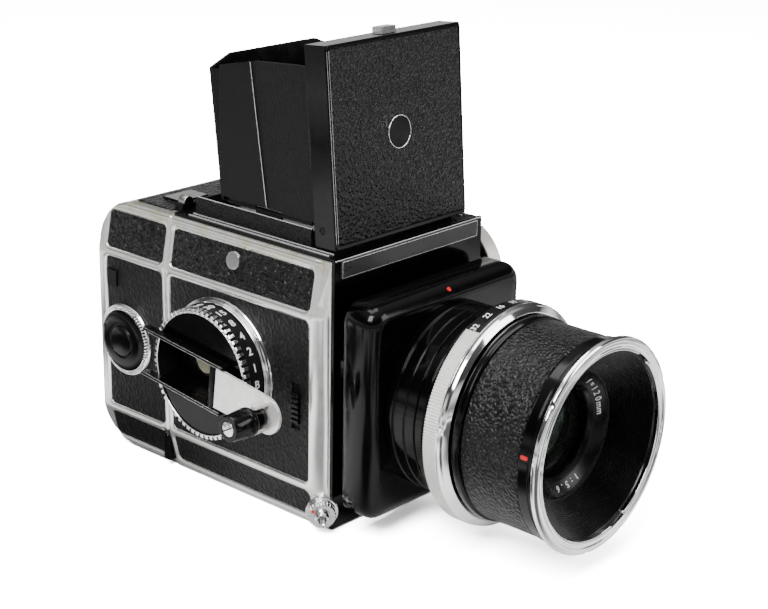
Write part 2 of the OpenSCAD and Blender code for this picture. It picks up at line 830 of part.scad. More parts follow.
spool(low_spool_z);  // takeup_spool
spool(high_spool_z);  // supply_spool
pressure_plate();
magazine_catch();
magazine_fittings();
hood_base();
hood_pins();
hood_lid();
hood_leaf(-1, left_leaf_z);  // hood_leaf_left
hood_leaf(1, right_leaf_z);  // hood_leaf_right
hood_rear_panel();
hood_magnifier();
hood_latch();
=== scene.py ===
"""Looks of a medium-format single-lens reflex camera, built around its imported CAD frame.

Sizes below are millimetres in the camera's own frame: X across, the lens looks along -Y, Z up.
"""
import json
import math

import bmesh
import bpy
from mathutils import Matrix, Vector

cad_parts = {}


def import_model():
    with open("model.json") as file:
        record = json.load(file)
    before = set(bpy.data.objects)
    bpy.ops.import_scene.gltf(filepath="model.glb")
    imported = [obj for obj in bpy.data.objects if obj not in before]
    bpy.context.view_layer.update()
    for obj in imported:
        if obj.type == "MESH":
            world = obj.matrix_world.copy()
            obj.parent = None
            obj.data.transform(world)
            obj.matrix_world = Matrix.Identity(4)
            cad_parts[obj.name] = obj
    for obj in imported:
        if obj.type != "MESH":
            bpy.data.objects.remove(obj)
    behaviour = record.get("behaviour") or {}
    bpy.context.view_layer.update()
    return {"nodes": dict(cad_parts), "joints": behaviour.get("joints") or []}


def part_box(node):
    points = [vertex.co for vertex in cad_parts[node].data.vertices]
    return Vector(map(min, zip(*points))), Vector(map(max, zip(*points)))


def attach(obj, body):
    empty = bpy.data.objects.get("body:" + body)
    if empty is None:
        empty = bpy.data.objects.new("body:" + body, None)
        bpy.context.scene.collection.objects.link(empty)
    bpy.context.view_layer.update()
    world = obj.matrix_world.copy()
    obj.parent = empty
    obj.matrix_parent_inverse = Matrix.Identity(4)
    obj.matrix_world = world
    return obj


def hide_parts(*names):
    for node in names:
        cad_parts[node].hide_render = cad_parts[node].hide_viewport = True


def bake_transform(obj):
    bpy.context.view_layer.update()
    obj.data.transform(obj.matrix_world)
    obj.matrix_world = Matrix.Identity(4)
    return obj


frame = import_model()

MM = 0.001
TAU = math.tau


# ---------------------------------------------------------------- places and sizes

def low(node):
    """Lowest corner of a CAD node in millimetres."""
    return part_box(node)[0] / MM


def high(node):
    """Highest corner of a CAD node in millimetres."""
    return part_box(node)[1] / MM


def middle(node):
    """Centre of a CAD node's box in millimetres."""
    return (low(node) + high(node)) / 2


def place(origin, forward, up=(0, 0, 1)):
    """Frame whose Z points forward and whose Y is as near up as it can be."""
    z = Vector(forward).normalized()
    x = Vector(up).cross(z).normalized()
    y = z.cross(x)
    turned = Matrix((x, y, z)).transposed().to_4x4()
    return Matrix.Translation(Vector(origin)) @ turned


def joint(name):
    """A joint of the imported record."""
    return next(j for j in frame["joints"] if j["name"] == name)


def around(degrees, y, radius, up=(0, -1, 0)):
    """Frame on a circle about the lens axis, facing outwards."""
    a = math.radians(degrees)
    radial = Vector((math.cos(a), 0, math.sin(a)))
    return place(Vector((0, y, AXIS_Z)) + radial * radius, radial, up)


SIDES = ((-1, "left"), (1, "right"))
HERE = Matrix.Identity(4)
AXIS_Z = middle("aperture_ring").z
SIDE_X = low("body_casting").x
TOP_Z = high("top_plate").z
DIAL = middle("speed_dial")
KNOB = middle("film_knob")
LENS = place((0, 0, AXIS_Z), (0, -1, 0))
DIAL_AT = place((0, DIAL.y, DIAL.z), (-1, 0, 0))
KNOB_AT = place((0, KNOB.y, KNOB.z), (-1, 0, 0))
CRANK_SLOPE = math.radians(6.5)
CRANK_AT = DIAL_AT @ Matrix.Rotation(-CRANK_SLOPE, 4, "Z")
TILT = Vector(joint("standard_tilt")["pos_m"]) / MM
HINGE_X = 9.7
HANDLE_X = 37.2
HINGE_AT = place(CRANK_AT @ Vector((HINGE_X, 0, 57.4)), CRANK_AT.to_3x3().col[1])
RELEASE = Vector(joint("release_lock_turn")["pos_m"]) / MM
RELEASE_LINE = Vector(joint("release_lock_turn")["axis"])
RELEASE_AT = place(RELEASE, RELEASE_LINE)
LID_LEAN = math.radians(4.8)
LID_AT = Matrix.Translation((0, 2.8, 104)) @ Matrix.Rotation(-LID_LEAN, 4, "X")


# ---------------------------------------------------------------- materials

class Nodes:
    """A node tree under construction, with short calls for its nodes."""

    def __init__(self, tree):
        self.tree = tree

    def add(self, kind, inputs=None, **properties):
        node = self.tree.nodes.new("ShaderNode" + kind)
        for key, value in properties.items():
            setattr(node, key, value)
        for key, value in (inputs or {}).items():
            self.feed(node.inputs[key], value)
        return node

    def feed(self, socket, value):
        if isinstance(value, bpy.types.NodeSocket):
            self.tree.links.new(value, socket)
        else:
            socket.default_value = value

    def mix(self, factor, first, second):
        node = self.add("Mix", data_type="RGBA")
        self.feed(node.inputs["Factor"], factor)
        self.feed(node.inputs["A"], first)
        self.feed(node.inputs["B"], second)
        return node.outputs["Result"]


class Finish(Nodes):
    """The nodes of a material, with the surfaces that the camera's parts share."""

    def __init__(self, name, **surface):
        self.material = bpy.data.materials.new(name)
        self.material.use_nodes = True
        super().__init__(self.material.node_tree)
        self.surface = self.tree.nodes["Principled BSDF"]
        for key, value in surface.items():
            self.surface.inputs[key.replace("_", " ")].default_value = value
        self.coordinates = self.add("TexCoord").outputs["Object"]

    def noise(self, scale, detail=4.0, rough=0.6):
        node = self.add("TexNoise", {"Vector": self.coordinates, "Scale": scale, "Detail": detail,
                                     "Roughness": rough})
        return node.outputs["Fac"]

    def axis(self, letter):
        """One coordinate of the surface, in metres."""
        return self.add("SeparateXYZ", {"Vector": self.coordinates}).outputs[letter]

    def ramp(self, value, start, end, low_value=0.0, high_value=1.0):
        node = self.add("MapRange", {"Value": value, "From Min": start, "From Max": end,
                                     "To Min": low_value, "To Max": high_value})
        node.interpolation_type = "SMOOTHSTEP"
        return node.outputs["Result"]

    def maths(self, operation, first, second=0.0):
        node = self.add("Math", operation=operation)
        self.feed(node.inputs[0], first)
        self.feed(node.inputs[1], second)
        return node.outputs[0]

    def soft_edges(self, radius):
        """A normal that rounds the hard edges of machined parts by a radius in millimetres."""
        return self.add("Bevel", {"Radius": radius * MM}, samples=6).outputs["Normal"]

    def bump(self, height, strength, depth, edge=0.25):
        """Surface relief of a depth in millimetres, over softened edges."""
        node = self.add("Bump", {"Height": height, "Strength": strength, "Distance": depth * MM,
                                 "Normal": self.soft_edges(edge)})
        self.feed(self.surface.inputs["Normal"], node.outputs["Normal"])

    def pebbles(self, size):
        """Height and dome mask of leather pebbles, with their size in millimetres."""
        warp = self.add("TexNoise", {"Vector": self.coordinates, "Scale": 420 / size,
                                     "Detail": 2.0})
        moved = self.add("VectorMath", {1: (0.45 * size * MM,) * 3}, operation="MULTIPLY")
        self.feed(moved.inputs[0], warp.outputs["Color"])
        shifted = self.add("VectorMath", operation="ADD")
        self.feed(shifted.inputs[0], self.coordinates)
        self.feed(shifted.inputs[1], moved.outputs[0])
        cells = self.add("TexVoronoi", {"Vector": shifted.outputs[0], "Scale": 1000 / size,
                                        "Randomness": 1.0}, feature="SMOOTH_F1")
        domes = self.ramp(cells.outputs["Distance"], 0.1, 0.62, 1.0, 0.0)
        fine = self.noise(3400, 3.0)
        return self.maths("ADD", domes, self.maths("MULTIPLY", fine, 0.12)), domes

    def set(self, name, value):
        self.feed(self.surface.inputs[name], value)


def grey(value, alpha=1.0):
    return (value, value, value, alpha)


def leather(name, pebble, relief, shine, tone):
    """Pebbled leather: pebble size and relief in millimetres."""
    f = Finish(name, Specular_IOR_Level=0.28)
    height, domes = f.pebbles(pebble)
    f.set("Base Color", f.mix(domes, grey(tone * 0.2), grey(tone)))
    f.set("Roughness", f.ramp(f.noise(900), 0.3, 0.7, shine, shine + 0.16))
    f.bump(height, 1.0, relief, 0.4)
    return f.material


def paint(name, tone, rough, coat=0.0, grain=0.02, edge=0.35):
    """Enamel or lacquer over metal with a trace of orange peel."""
    f = Finish(name, Coat_Weight=coat, Coat_Roughness=0.04, Specular_IOR_Level=0.2)
    f.set("Base Color", f.mix(f.noise(60), grey(tone * 0.8), grey(tone * 1.2)))
    f.set("Roughness", f.ramp(f.noise(180), 0.3, 0.7, rough * 0.85, rough * 1.2))
    f.bump(f.noise(700), 0.6, grain, edge)
    return f.material


def metal(name, tone, rough, tint=(1, 1, 1), scratch=0.0, bare=1.0, grain=900, edge=0.25):
    """Bare or plated metal with faint handling marks, milkier as bare falls below 1."""
    f = Finish(name, Metallic=bare)
    smudge = f.ramp(f.noise(90, 5.0), 0.35, 0.7)
    bright = tuple(tone * c for c in tint) + (1,)
    dull = tuple(tone * 0.86 * c for c in tint) + (1,)
    f.set("Base Color", f.mix(smudge, bright, dull))
    f.set("Roughness", f.ramp(smudge, 0.0, 1.0, rough, rough * 1.5 + 0.02))
    f.bump(f.noise(grain, 4.0), 0.7, scratch, edge)
    return f.material


def frame_silver():
    """Satin silver side frames with a warmer, worn stretch along the upper band."""
    f = Finish("frame_silver", Metallic=0.85, Specular_IOR_Level=0.5)
    band = f.ramp(f.axis("Z"), (TOP_Z - 9) * MM, (TOP_Z - 3) * MM)
    worn = f.maths("MULTIPLY", band, f.ramp(f.noise(160, 6.0, 0.7), 0.42, 0.62))
    clean = f.mix(f.noise(220, 5.0), (0.84, 0.83, 0.81, 1), (0.95, 0.94, 0.92, 1))
    aged = f.mix(f.maths("MULTIPLY", worn, 0.6), clean, (0.72, 0.7, 0.4, 1))
    f.set("Base Color", aged)
    f.set("Roughness", f.ramp(f.noise(300, 5.0), 0.3, 0.7, 0.16, 0.22))
    f.bump(f.noise(1500, 3.0), 0.6, 0.02, 0.9)
    return f.material


def two_sheet_leaf():
    """Fine grain on the inner sheet of a hood leaf, plain satin on its outer plate."""
    f = Finish("hood_leaf_black", Specular_IOR_Level=0.22)
    plate_from = 33.52 * MM
    outer = f.maths("GREATER_THAN", f.maths("ABSOLUTE", f.axis("X")), plate_from)
    fine = f.noise(1100, 3.0, 0.7)
    f.set("Base Color", f.mix(outer, f.mix(fine, grey(0.001), grey(0.005)), grey(0.002)))
    f.set("Roughness", f.mix(outer, grey(0.42), grey(0.36)))
    relief = f.maths("MULTIPLY", fine, f.maths("SUBTRACT", 1.0, outer))
    f.bump(relief, 1.0, 0.3, 0.25)
    return f.material


def glass(name, tint, rough, cover):
    """Coated optical glass, seen as a thin film that covers a part of what lies behind."""
    f = Finish(name, Alpha=cover)
    facing = f.add("LayerWeight", {"Blend": 0.35}).outputs["Facing"]
    f.set("Base Color", f.mix(facing, tint, tuple(0.6 * c for c in tint[:3]) + (1,)))
    f.set("Specular Tint", f.mix(f.ramp(f.noise(30), 0.42, 0.58), (1.0, 0.7, 0.35, 1),
                                 (0.45, 0.9, 0.6, 1)))
    f.set("Roughness", f.ramp(f.noise(60), 0.2, 0.8, rough, rough + 0.02))
    return f.material


def deep_glass():
    """Inner element: near black, with amber and green coating reflections."""
    f = Finish("deep_glass", Roughness=0.02, Coat_Weight=0.2, Specular_IOR_Level=0.8)
    facing = f.add("LayerWeight", {"Blend": 0.5}).outputs["Facing"]
    f.set("Base Color", f.mix(facing, (0.002, 0.004, 0.003, 1), (0.05, 0.025, 0.01, 1)))
    f.set("Specular Tint", f.mix(f.ramp(f.noise(40), 0.4, 0.6), (1.0, 0.6, 0.25, 1),
                                 (0.35, 0.9, 0.5, 1)))
    f.bump(f.noise(200), 0.02, 0.002, 0.1)
    return f.material


def cloth(name, tone):
    """Rubberised cloth with a plain weave."""
    f = Finish(name, Roughness=0.75, Specular_IOR_Level=0.2)
    waves = [f.add("TexWave", {"Vector": f.coordinates, "Scale": 700.0}, bands_direction=axis)
             for axis in ("X", "Z")]
    weave = f.maths("MULTIPLY", waves[0].outputs["Fac"], waves[1].outputs["Fac"])
    f.set("Base Color", f.mix(weave, grey(tone * 0.5), grey(tone * 1.4)))
    f.bump(weave, 0.6, 0.06, 0.3)
    return f.material


def mark(name, colour, rough=0.4):
    """Filled engraving: paint with a faint grain."""
    f = Finish(name, Specular_IOR_Level=0.4)
    worn = tuple(c * 0.8 for c in colour[:3]) + (1,)
    f.set("Base Color", f.mix(f.ramp(f.noise(900), 0.4, 0.65), colour, worn))
    f.set("Roughness", f.ramp(f.noise(500), 0.3, 0.7, rough, rough + 0.15))
    return f.material


def use_finish(node, material):
    """Puts a material on a CAD node, smooth apart from its sharp edges."""
    mesh = frame["nodes"][node].data
    mesh.materials.clear()
    mesh.materials.append(material)
    mesh.shade_smooth()
    mesh.set_sharp_from_angle(angle=math.radians(35))


M = {
    "silver": frame_silver(),
    "leather": leather("leather_coarse", 1.15, 0.5, 0.24, 0.005),
    "leather_flat": leather("leather_flat", 0.9, 0.25, 0.34, 0.004),
    "leather_barrel": leather("leather_barrel", 1.1, 0.45, 0.28, 0.005),
    "gloss": paint("gloss_black", 0.0008, 0.12, 0.0, 0.006, 0.5),
    "satin": paint("satin_black", 0.0012, 0.27, 0.0, 0.02, 0.3),
    "matte": paint("matte_black", 0.001, 0.6, 0.0, 0.03, 0.2),
    "ridge": paint("ridge_black", 0.0015, 0.3, 0.0, 0.01, 0.05),
    "leaf": two_sheet_leaf(),
    "name": paint("name_grey", 0.02, 0.3, 0.2, 0.02, 0.15),
    "chrome": metal("chrome", 0.95, 0.05, scratch=0.004),
    "worn_chrome": metal("chrome_worn", 0.93, 0.14, scratch=0.02),
    "plate": metal("crank_plate_satin", 0.95, 0.25, (1.0, 0.97, 0.95), 0.02, 0.55),
    "steel": metal("steel", 0.55, 0.28, scratch=0.02),
    "knurl": metal("knurled_alloy", 0.95, 0.28, (1.0, 0.985, 0.94), 0.02, 0.5),
    "alloy": metal("focusing_alloy", 0.9, 0.3, scratch=0.02, bare=0.7),
    "mirror": metal("front_mirror", 0.9, 0.01, scratch=0.0),
    "glass": glass("coated_glass", (0.01, 0.012, 0.01, 1), 0.0, 0.35),
    "dark_glass": deep_glass(),
    "screen": glass("ground_glass", (0.3, 0.3, 0.29, 1), 0.45, 0.95),
    "cloth": cloth("shutter_cloth", 0.012),
    "white": mark("white_fill", (0.8, 0.8, 0.78, 1)),
    "red": mark("red_fill", (0.55, 0.01, 0.012, 1), 0.25),
    "ivory": mark("ivory_disc", (0.55, 0.54, 0.38, 1), 0.3),
    "pale": mark("pale_plate", (0.16, 0.16, 0.155, 1), 0.4),
    "line": metal("bright_line", 0.9, 0.25, scratch=0.01, bare=0.7),
}

NODE_FINISH = {
    "silver": ["body_casting", "magazine_shell"],
    "leather": ["magazine_leather"],
    "leather_flat": ["magazine_door"],
    "gloss": ["front_plate", "hood_lid", "focusing_rails"],
    "satin": ["top_plate", "hood_base", "multiple_exposure_slide", "magazine_catch",
              "magazine_fittings", "hood_rear_panel", "hood_magnifier", "takeup_spool",
              "supply_spool", "lens_core", "hood_pins"],
    "matte": ["mirror_box", "iris_blade_1", "iris_blade_2", "iris_blade_3", "iris_blade_4",
              "iris_blade_5"],
    "leaf": ["hood_leaf_left", "hood_leaf_right"],
    "name": ["name_plate"],
    "chrome": ["hood_latch", "strap_studs"],
    "steel": ["tripod_bush", "curtain_roller_top", "curtain_roller_bottom", "dark_slide",
              "pressure_plate"],
    "mirror": ["reflex_mirror"],
    "screen": ["focusing_screen"],
    "glass": ["rear_glass"],
    "cloth": ["shutter_curtain"],
}

# Looks of the added pieces: a finish above, and a slot name that add_piece reads but does not use.
CHROME = ("chrome", "chrome_bright")
GLOSS = ("gloss", "gloss_black")
GLOSS_PLASTIC = ("gloss", "black_plastic")
LINE = ("line", "gloss_black")
LINE_ON_SATIN = ("line", "satin_black")
MATTE = ("matte", "satin_black")
PLATE = ("plate", "chrome_bright")
RED = ("red", "gloss_black")
RIDGE = ("ridge", "satin_black")
SATIN = ("satin", "satin_black")
SATIN_ON_GLOSS = ("satin", "gloss_black")
STEEL = ("steel", "steel")
WORN_CHROME = ("worn_chrome", "chrome_bright")


# ---------------------------------------------------------------- mesh tools

def put(name, data):
    """Adds an object to the scene."""
    item = bpy.data.objects.new(name, data)
    bpy.context.scene.collection.objects.link(item)
    return item


def add_piece(name, bm, at, body, look, stands_for=(), smooth=35):
    """Turns a mesh in millimetres into a piece that rides on a body."""
    finish, slot = look
    mesh = bpy.data.meshes.new(name)
    bmesh.ops.recalc_face_normals(bm, faces=bm.faces)
    bm.to_mesh(mesh)
    bm.free()
    mesh.transform(Matrix.Scale(MM, 4) @ at)
    mesh.shade_smooth()
    mesh.set_sharp_from_angle(angle=math.radians(smooth))
    piece = put(name, mesh)
    piece.data.materials.append(M[finish])
    if body:
        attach(piece, body)
    if stands_for:
        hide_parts(*stands_for)
    return piece


def skin(loops, joined):
    """Mesh over closed loops of equal point counts, joined last to first or else capped."""
    bm = bmesh.new()
    rings = [[bm.verts.new(p) for p in loop] for loop in loops]
    for here, there in zip(rings, rings[1:] + rings[:1] if joined else rings[1:]):
        for i in range(len(here)):
            n = (i + 1) % len(here)
            bm.faces.new((here[i], here[n], there[n], there[i]))
    if not joined:
        bm.faces.new(rings[0])
        bm.faces.new(rings[-1])
    return bm


def lathe(name, at, profile, body, look, stands_for=(), steps=180, shape=None, smooth=35):
    """A closed profile of (radius, height) turned about the frame's Z axis.

    shape(angle, radius, height) may return another radius, for knurls, teeth and slots."""
    def point(angle, radius, height):
        r = shape(angle, radius, height) if shape else radius
        return r * math.cos(angle), r * math.sin(angle), height

    bm = skin([[point(TAU * i / steps, *p) for p in profile] for i in range(steps)], True)
    bmesh.ops.remove_doubles(bm, verts=bm.verts, dist=1e-5)
    return add_piece(name, bm, at, body, look, stands_for, smooth)


def slab(name, at, outline, z0, z1, body, look, stands_for=(), edge=0.2, smooth=35):
    """An outline in X and Y raised from z0 to z1, with its edges rounded."""
    bm = skin([[(x, y, z) for x, y in outline] for z in (z0, z1)], False)
    if edge:
        rims = [e for e in bm.edges if e.calc_face_angle(0) > math.radians(30)]
        bmesh.ops.bevel(bm, geom=rims, offset=edge, segments=3, profile=0.5, affect="EDGES",
                        clamp_overlap=True)
    return add_piece(name, bm, at, body, look, stands_for, smooth)


def raised(profile, height):
    """A profile moved up by a height."""
    return [(r, h + height) for r, h in profile]


def cap(radius, steps, centre, curve):
    """Profile of a spherical cap, from the axis outwards."""
    radii = [radius * i / steps for i in range(steps + 1)]
    return [(max(r, 0.01), centre + math.sqrt(curve ** 2 - r * r)) for r in radii]


def arc(centre, radius, start, end, steps=16):
    """Points of an arc, with its angles in degrees."""
    turns = [math.radians(start + (end - start) * i / steps) for i in range(steps + 1)]
    return [(centre[0] + radius * math.cos(t), centre[1] + radius * math.sin(t)) for t in turns]


def rectangle(x0, y0, x1, y1):
    """Outline of a plain rectangle."""
    return [(x0, y0), (x1, y0), (x1, y1), (x0, y1)]


def soft_rectangle(x0, y0, x1, y1, r, steps=6):
    """Outline of a rectangle with rounded corners."""
    corners = [((x1 - r, y1 - r), 0), ((x0 + r, y1 - r), 90), ((x0 + r, y0 + r), 180),
               ((x1 - r, y0 + r), 270)]
    return [p for centre, start in corners for p in arc(centre, r, start, start + 90, steps)]


def loft(name, at, loops, body, look, stands_for=(), smooth=35):
    """Skins loops and caps both ends."""
    return add_piece(name, skin(loops, False), at, body, look, stands_for, smooth)


def ring(name, at, loops, body, look, stands_for=()):
    """Skins loops into a closed band, the last loop joined to the first."""
    return add_piece(name, skin(loops, True), at, body, look, stands_for)


def border(name, at, outer, inner, height, body, look):
    """Flat frame between two outlines."""
    corners = ((outer, 0.0), (outer, height), (inner, height), (inner, 0.0))
    loops = [[(x, y, z) for x, y in outline] for outline, z in corners]
    ring(name, at, loops, body, look)


def write(name, text, size, at, body, finish="white"):
    """Generic numerals as thin raised type, centred on the frame's origin."""
    curve = bpy.data.curves.new(name, "FONT")
    curve.body = text
    curve.size = size * MM
    curve.extrude = 0.04 * MM
    curve.offset = 0.012 * size * MM
    curve.align_x = "CENTER"
    curve.align_y = "CENTER"
    piece = put(name, curve)
    moved = at.copy()
    moved.translation = at.translation * MM
    piece.matrix_world = moved
    piece.data.materials.append(M[finish])
    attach(piece, body)


def teeth(outer, count, depth, width):
    """Shape for a lathe: square-cut teeth in everything from a radius outwards."""
    def shape(angle, radius, height):
        phase = (angle * count / TAU) % 1.0
        return radius - depth if radius >= outer and phase > width else radius
    return shape


# ---------------------------------------------------------------- front standard and lens

def standard():
    """Hollow gloss housing with large soft edges, open towards the body."""
    lo, hi = low("standard_housing"), high("standard_housing")
    wide, back, front = hi.x, -hi.y, -lo.y
    z0, z1 = lo.z - AXIS_Z, hi.z - AXIS_Z
    soft = 5.5

    def loop(inset, height, corner):
        outline = soft_rectangle(-wide + inset, z0 + inset, wide - inset, z1 - inset, corner, 8)
        return [(x, y, height) for x, y in outline]

    loops = [loop(2.5, front - 2.5, 5.0), loop(2.5, back, 5.0), loop(0.4, back, 7.0),
             loop(0, back + 0.4, 7.3), loop(0, front - soft, 7.3)]
    for i in range(1, 11):
        a = math.radians(9 * i)
        loops.append(loop(soft * (1 - math.cos(a)), front - soft + soft * math.sin(a),
                          7.3 - 4.5 * (1 - math.cos(a))))
    loft("front_standard", LENS, loops, "standard", GLOSS, ["standard_housing"], 50)
    crown = soft * (1 - math.cos(math.radians(45)))
    slab("standard_index", place((0, crown - front, hi.z - crown), (0, -1, 1)),
         arc((0, 0), 0.9, 0, 345, 22), -0.1, 0.2, "standard", RED, edge=0.06)
    for side, word in SIDES:
        pivot = place((side * 33.0, TILT.y, TILT.z), (side, 0, 0))
        lathe(f"tilt_pivot_{word}", pivot, [(0.01, 0), (1.4, 0), (1.5, 0.1), (1.5, 6.2),
                                            (0.01, 6.2)], "standard", STEEL, steps=40)


def lens_rear():
    """Gloss tube between the standard and the aperture ring, with its grooves."""
    r = high("lens_rear_tube").x
    groove = [(r, 24.4), (r - 0.5, 24.6), (r - 0.5, 25.3), (r, 25.5),
              (r, 29.6), (r - 0.25, 29.8), (r - 0.25, 30.1), (r, 30.3),
              (r, 34.4), (r - 0.6, 34.6), (r - 0.6, 35.2), (r + 0.4, 35.4),
              (r + 0.4, 38.4), (r + 0.1, 38.6), (r + 0.1, 38.9), (r + 0.4, 39.1)]
    profile = [(28.96, 18.2), (30.9, 18.2), (30.9, 21.2), (r - 0.3, 21.2), (r, 21.5)] + groove
    profile += [(r + 0.4, 42.6), (r + 0.1, 43.1), (28.96, 43.1)]
    lathe("lens_tube", LENS, profile, "lens", GLOSS, ["lens_rear_tube"], 200)
    for i in range(-3, 4):
        slab(f"depth_mark_{i + 3}", around(90 + 9 * i, -40.8, r + 0.42),
             rectangle(-0.12, -1.2, 0.12, 1.2), 0, 0.05, "lens", ("white", "gloss_black"), edge=0)


def aperture_ring():
    """Knurled ring with a broad plain bevel and a black window with the stops."""
    outer = high("aperture_ring").x
    back = -high("aperture_ring").y
    front = -low("aperture_ring").y
    grip_end = front - 3.6
    ribs = 230

    def knurl(angle, radius, height):
        if radius < outer - 0.4:
            return radius
        wave = 0.5 + 0.5 * math.cos(ribs * angle)
        window = math.radians(62) < angle < math.radians(118)
        return outer - 0.8 if window else outer - 0.6 * (1 - wave) ** 1.5 - 0.02

    profile = [(28.96, back), (outer - 0.9, back), (outer, back + 0.3), (outer, grip_end),
               (outer - 0.9, grip_end + 0.15), (28.96, grip_end + 0.15)]
    lathe("aperture_grip", LENS, profile, "aperture", ("knurl", "knurled_metal"),
          ["aperture_ring"], ribs * 4, knurl, 50)
    bevel = [(28.96, grip_end + 0.1), (outer - 0.6, grip_end + 0.1), (outer - 0.2, grip_end + 0.4),
              (outer - 0.2, grip_end + 0.9), (outer - 0.9, grip_end + 1.5),
              (outer - 1.2, front - 1.2), (outer - 1.6, front - 0.9), (outer - 3.0, front - 0.05),
              (28.96, front - 0.05)]
    lathe("aperture_rim", LENS, bevel, "aperture", CHROME, steps=256, smooth=28)
    band = []
    for a in range(62, 119, 2):
        c, s = math.cos(math.radians(a)), math.sin(math.radians(a))
        r0, r1 = outer - 0.9, outer - 0.3
        band.append([(r0 * c, r0 * s, back + 0.25), (r1 * c, r1 * s, back + 0.45),
                     (r1 * c, r1 * s, grip_end - 0.2), (r0 * c, r0 * s, grip_end)])
    loft("aperture_window", LENS, band, "aperture", SATIN)
    for i, stop in enumerate(["5.6", "8", "11", "16", "22", "32"]):
        at = around(66 + 10 * i, -(back + grip_end) / 2, outer - 0.28, (0, 1, 0))
        write(f"stop_{i}", stop, 3.2, at, "aperture")


def barrel():
    """Black front barrel, its leather sleeve and the red mark; the chrome bayonet is built in
    front_bayonet.
    """
    r = high("barrel_leather").x
    rim = high("lens_barrel").x
    back = -high("barrel_leather").y
    front = -low("barrel_leather").y
    lathe("barrel_rear_ring", LENS,
          [(33.4, 52.75), (rim - 1.4, 52.75), (rim - 0.5, 53.1), (rim - 0.05, 54.0),
           (rim - 0.3, back - 0.3), (r + 0.1, back + 0.2), (r - 0.9, back + 0.4),
           (r - 0.9, front), (r + 0.15, front + 0.05), (r + 0.5, front + 0.5), (r + 0.5, 84.6),
           (r + 0.25, 84.8), (r + 0.25, 85.2), (r + 0.5, 85.4), (r + 0.5, 86.9), (33.4, 87)],
          "lens", GLOSS, ["lens_barrel"], 256)
    lathe("barrel_sleeve", LENS,
          [(r - 0.95, back + 0.3), (r - 0.4, back + 0.3), (r + 0.15, back + 0.9),
           (r + 0.05, (back + front) / 2), (r + 0.1, front - 0.6), (r - 0.4, front - 0.05),
           (r - 0.95, front - 0.05)],
          "lens", ("leather_barrel", "leather_black"), ["barrel_leather"], 256)
    slab("filter_index", around(171, -83.0, r + 0.5), soft_rectangle(-0.7, -1.5, 0.7, 1.5, 0.5, 4),
         -0.3, 0.15, "lens", RED, edge=0.05)


def front_bayonet():
    """Polished ring with an outer flange, inner step and lugs."""
    r = high("front_bayonet_ring").x
    back, front = -high("front_bayonet_ring").y, -low("front_bayonet_ring").y

    def lugs(angle, radius, height):
        turn = math.degrees(angle) % 120
        open_slot = 44 < turn < 58
        if radius < 34.2:
            return radius + (0.9 if open_slot else 0)
        if radius > r - 0.3 and 20 < turn < 24:
            return radius - 0.5
        return radius

    profile = [(33.5, back), (r - 1.2, back), (r - 0.4, back + 0.15), (r, back + 0.6),
               (r, front - 1.0), (r - 0.25, front - 0.55), (r - 0.9, front - 0.3),
               (r - 1.5, front - 0.05), (r - 2.4, front - 0.05), (r - 2.7, front - 0.5),
               (r - 3.3, front - 0.55), (r - 3.6, front - 0.15), (34.3, front - 0.15),
               (33.55, front - 0.6)]
    lathe("filter_bayonet", LENS, profile, "lens", CHROME, ["front_bayonet_ring"], 360, lugs, 40)


def baffle():
    """Ridged black cone, the ring around the glass, its figures and the glass itself."""
    profile = [(33.3, 87.0)]
    steps = 20
    mouth, throat = (32.9, 87.0), (23.3, 74.9)
    wall = [[a + (b - a) * i / steps for a, b in zip(mouth, throat)] for i in range(steps + 1)]
    for (r0, h0), (r1, h1) in zip(wall, wall[1:]):
        profile += [(r0, h0), (r0 - 0.02, h1 + 0.22), (r0 + 0.14, h1 + 0.12), (r1 + 0.16, h1)]
    profile += [(22.95, 74.8), (22.95, 72.9), (33.3, 72.9)]
    lathe("light_baffle", LENS, profile, "lens", RIDGE, ["baffle_cone"], 240, smooth=20)
    lathe("glass_ring", LENS,
          [(16.6, 70.5), (22.85, 70.5), (22.85, 74.75), (22.4, 74.9), (22.0, 74.3), (18.2, 72.0),
           (17.9, 72.2), (17.4, 71.7), (16.6, 70.7)],
          "lens", SATIN, ["letter_ring"], 180)
    ring_text("f=120mm", 150)
    ring_text("1:5.6", 262)
    lathe("front_element", LENS, cap(16.5, 12, 29.2, 41.1) + [(16.5, 67.4), (0.01, 67.4)], "lens",
          ("glass", "clear_glass"), ["front_glass"], 128)
    for i, (r, h) in enumerate([(15.9, 64.6), (15.1, 62.6), (14.4, 60.4)]):
        lathe(f"inner_lip_{i}", LENS, [(r - 0.7, h), (16.55, h + 0.1), (16.55, h + 0.9),
                                       (r - 0.3, h + 0.5)], "lens", RIDGE, steps=96)
    lathe("second_element", LENS, cap(14.2, 10, 23.5, 36.0) + [(14.2, 54.2), (0.01, 54.2)], "lens",
          ("dark_glass", "clear_glass"), steps=96)


def ring_text(text, centre):
    """Figures along the conical ring around the glass, centred on an angle in degrees."""
    slope = math.atan2(74.3 - 72.0, 22.0 - 18.2)
    for i, letter in enumerate(text):
        a = math.radians(centre + (i - (len(text) - 1) / 2) * 7.6)
        radial = Vector((-math.cos(a), 0, math.sin(a)))
        facing = Vector((0, -1, 0)) * math.cos(slope) - radial * math.sin(slope)
        centre_at = Vector((0, -73.2, AXIS_Z)) + radial * 20.1
        write(f"ring_{text[0]}{centre}_{i}", letter, 3.3, place(centre_at, facing, radial), "lens")


# ---------------------------------------------------------------- dial, crank and knobs

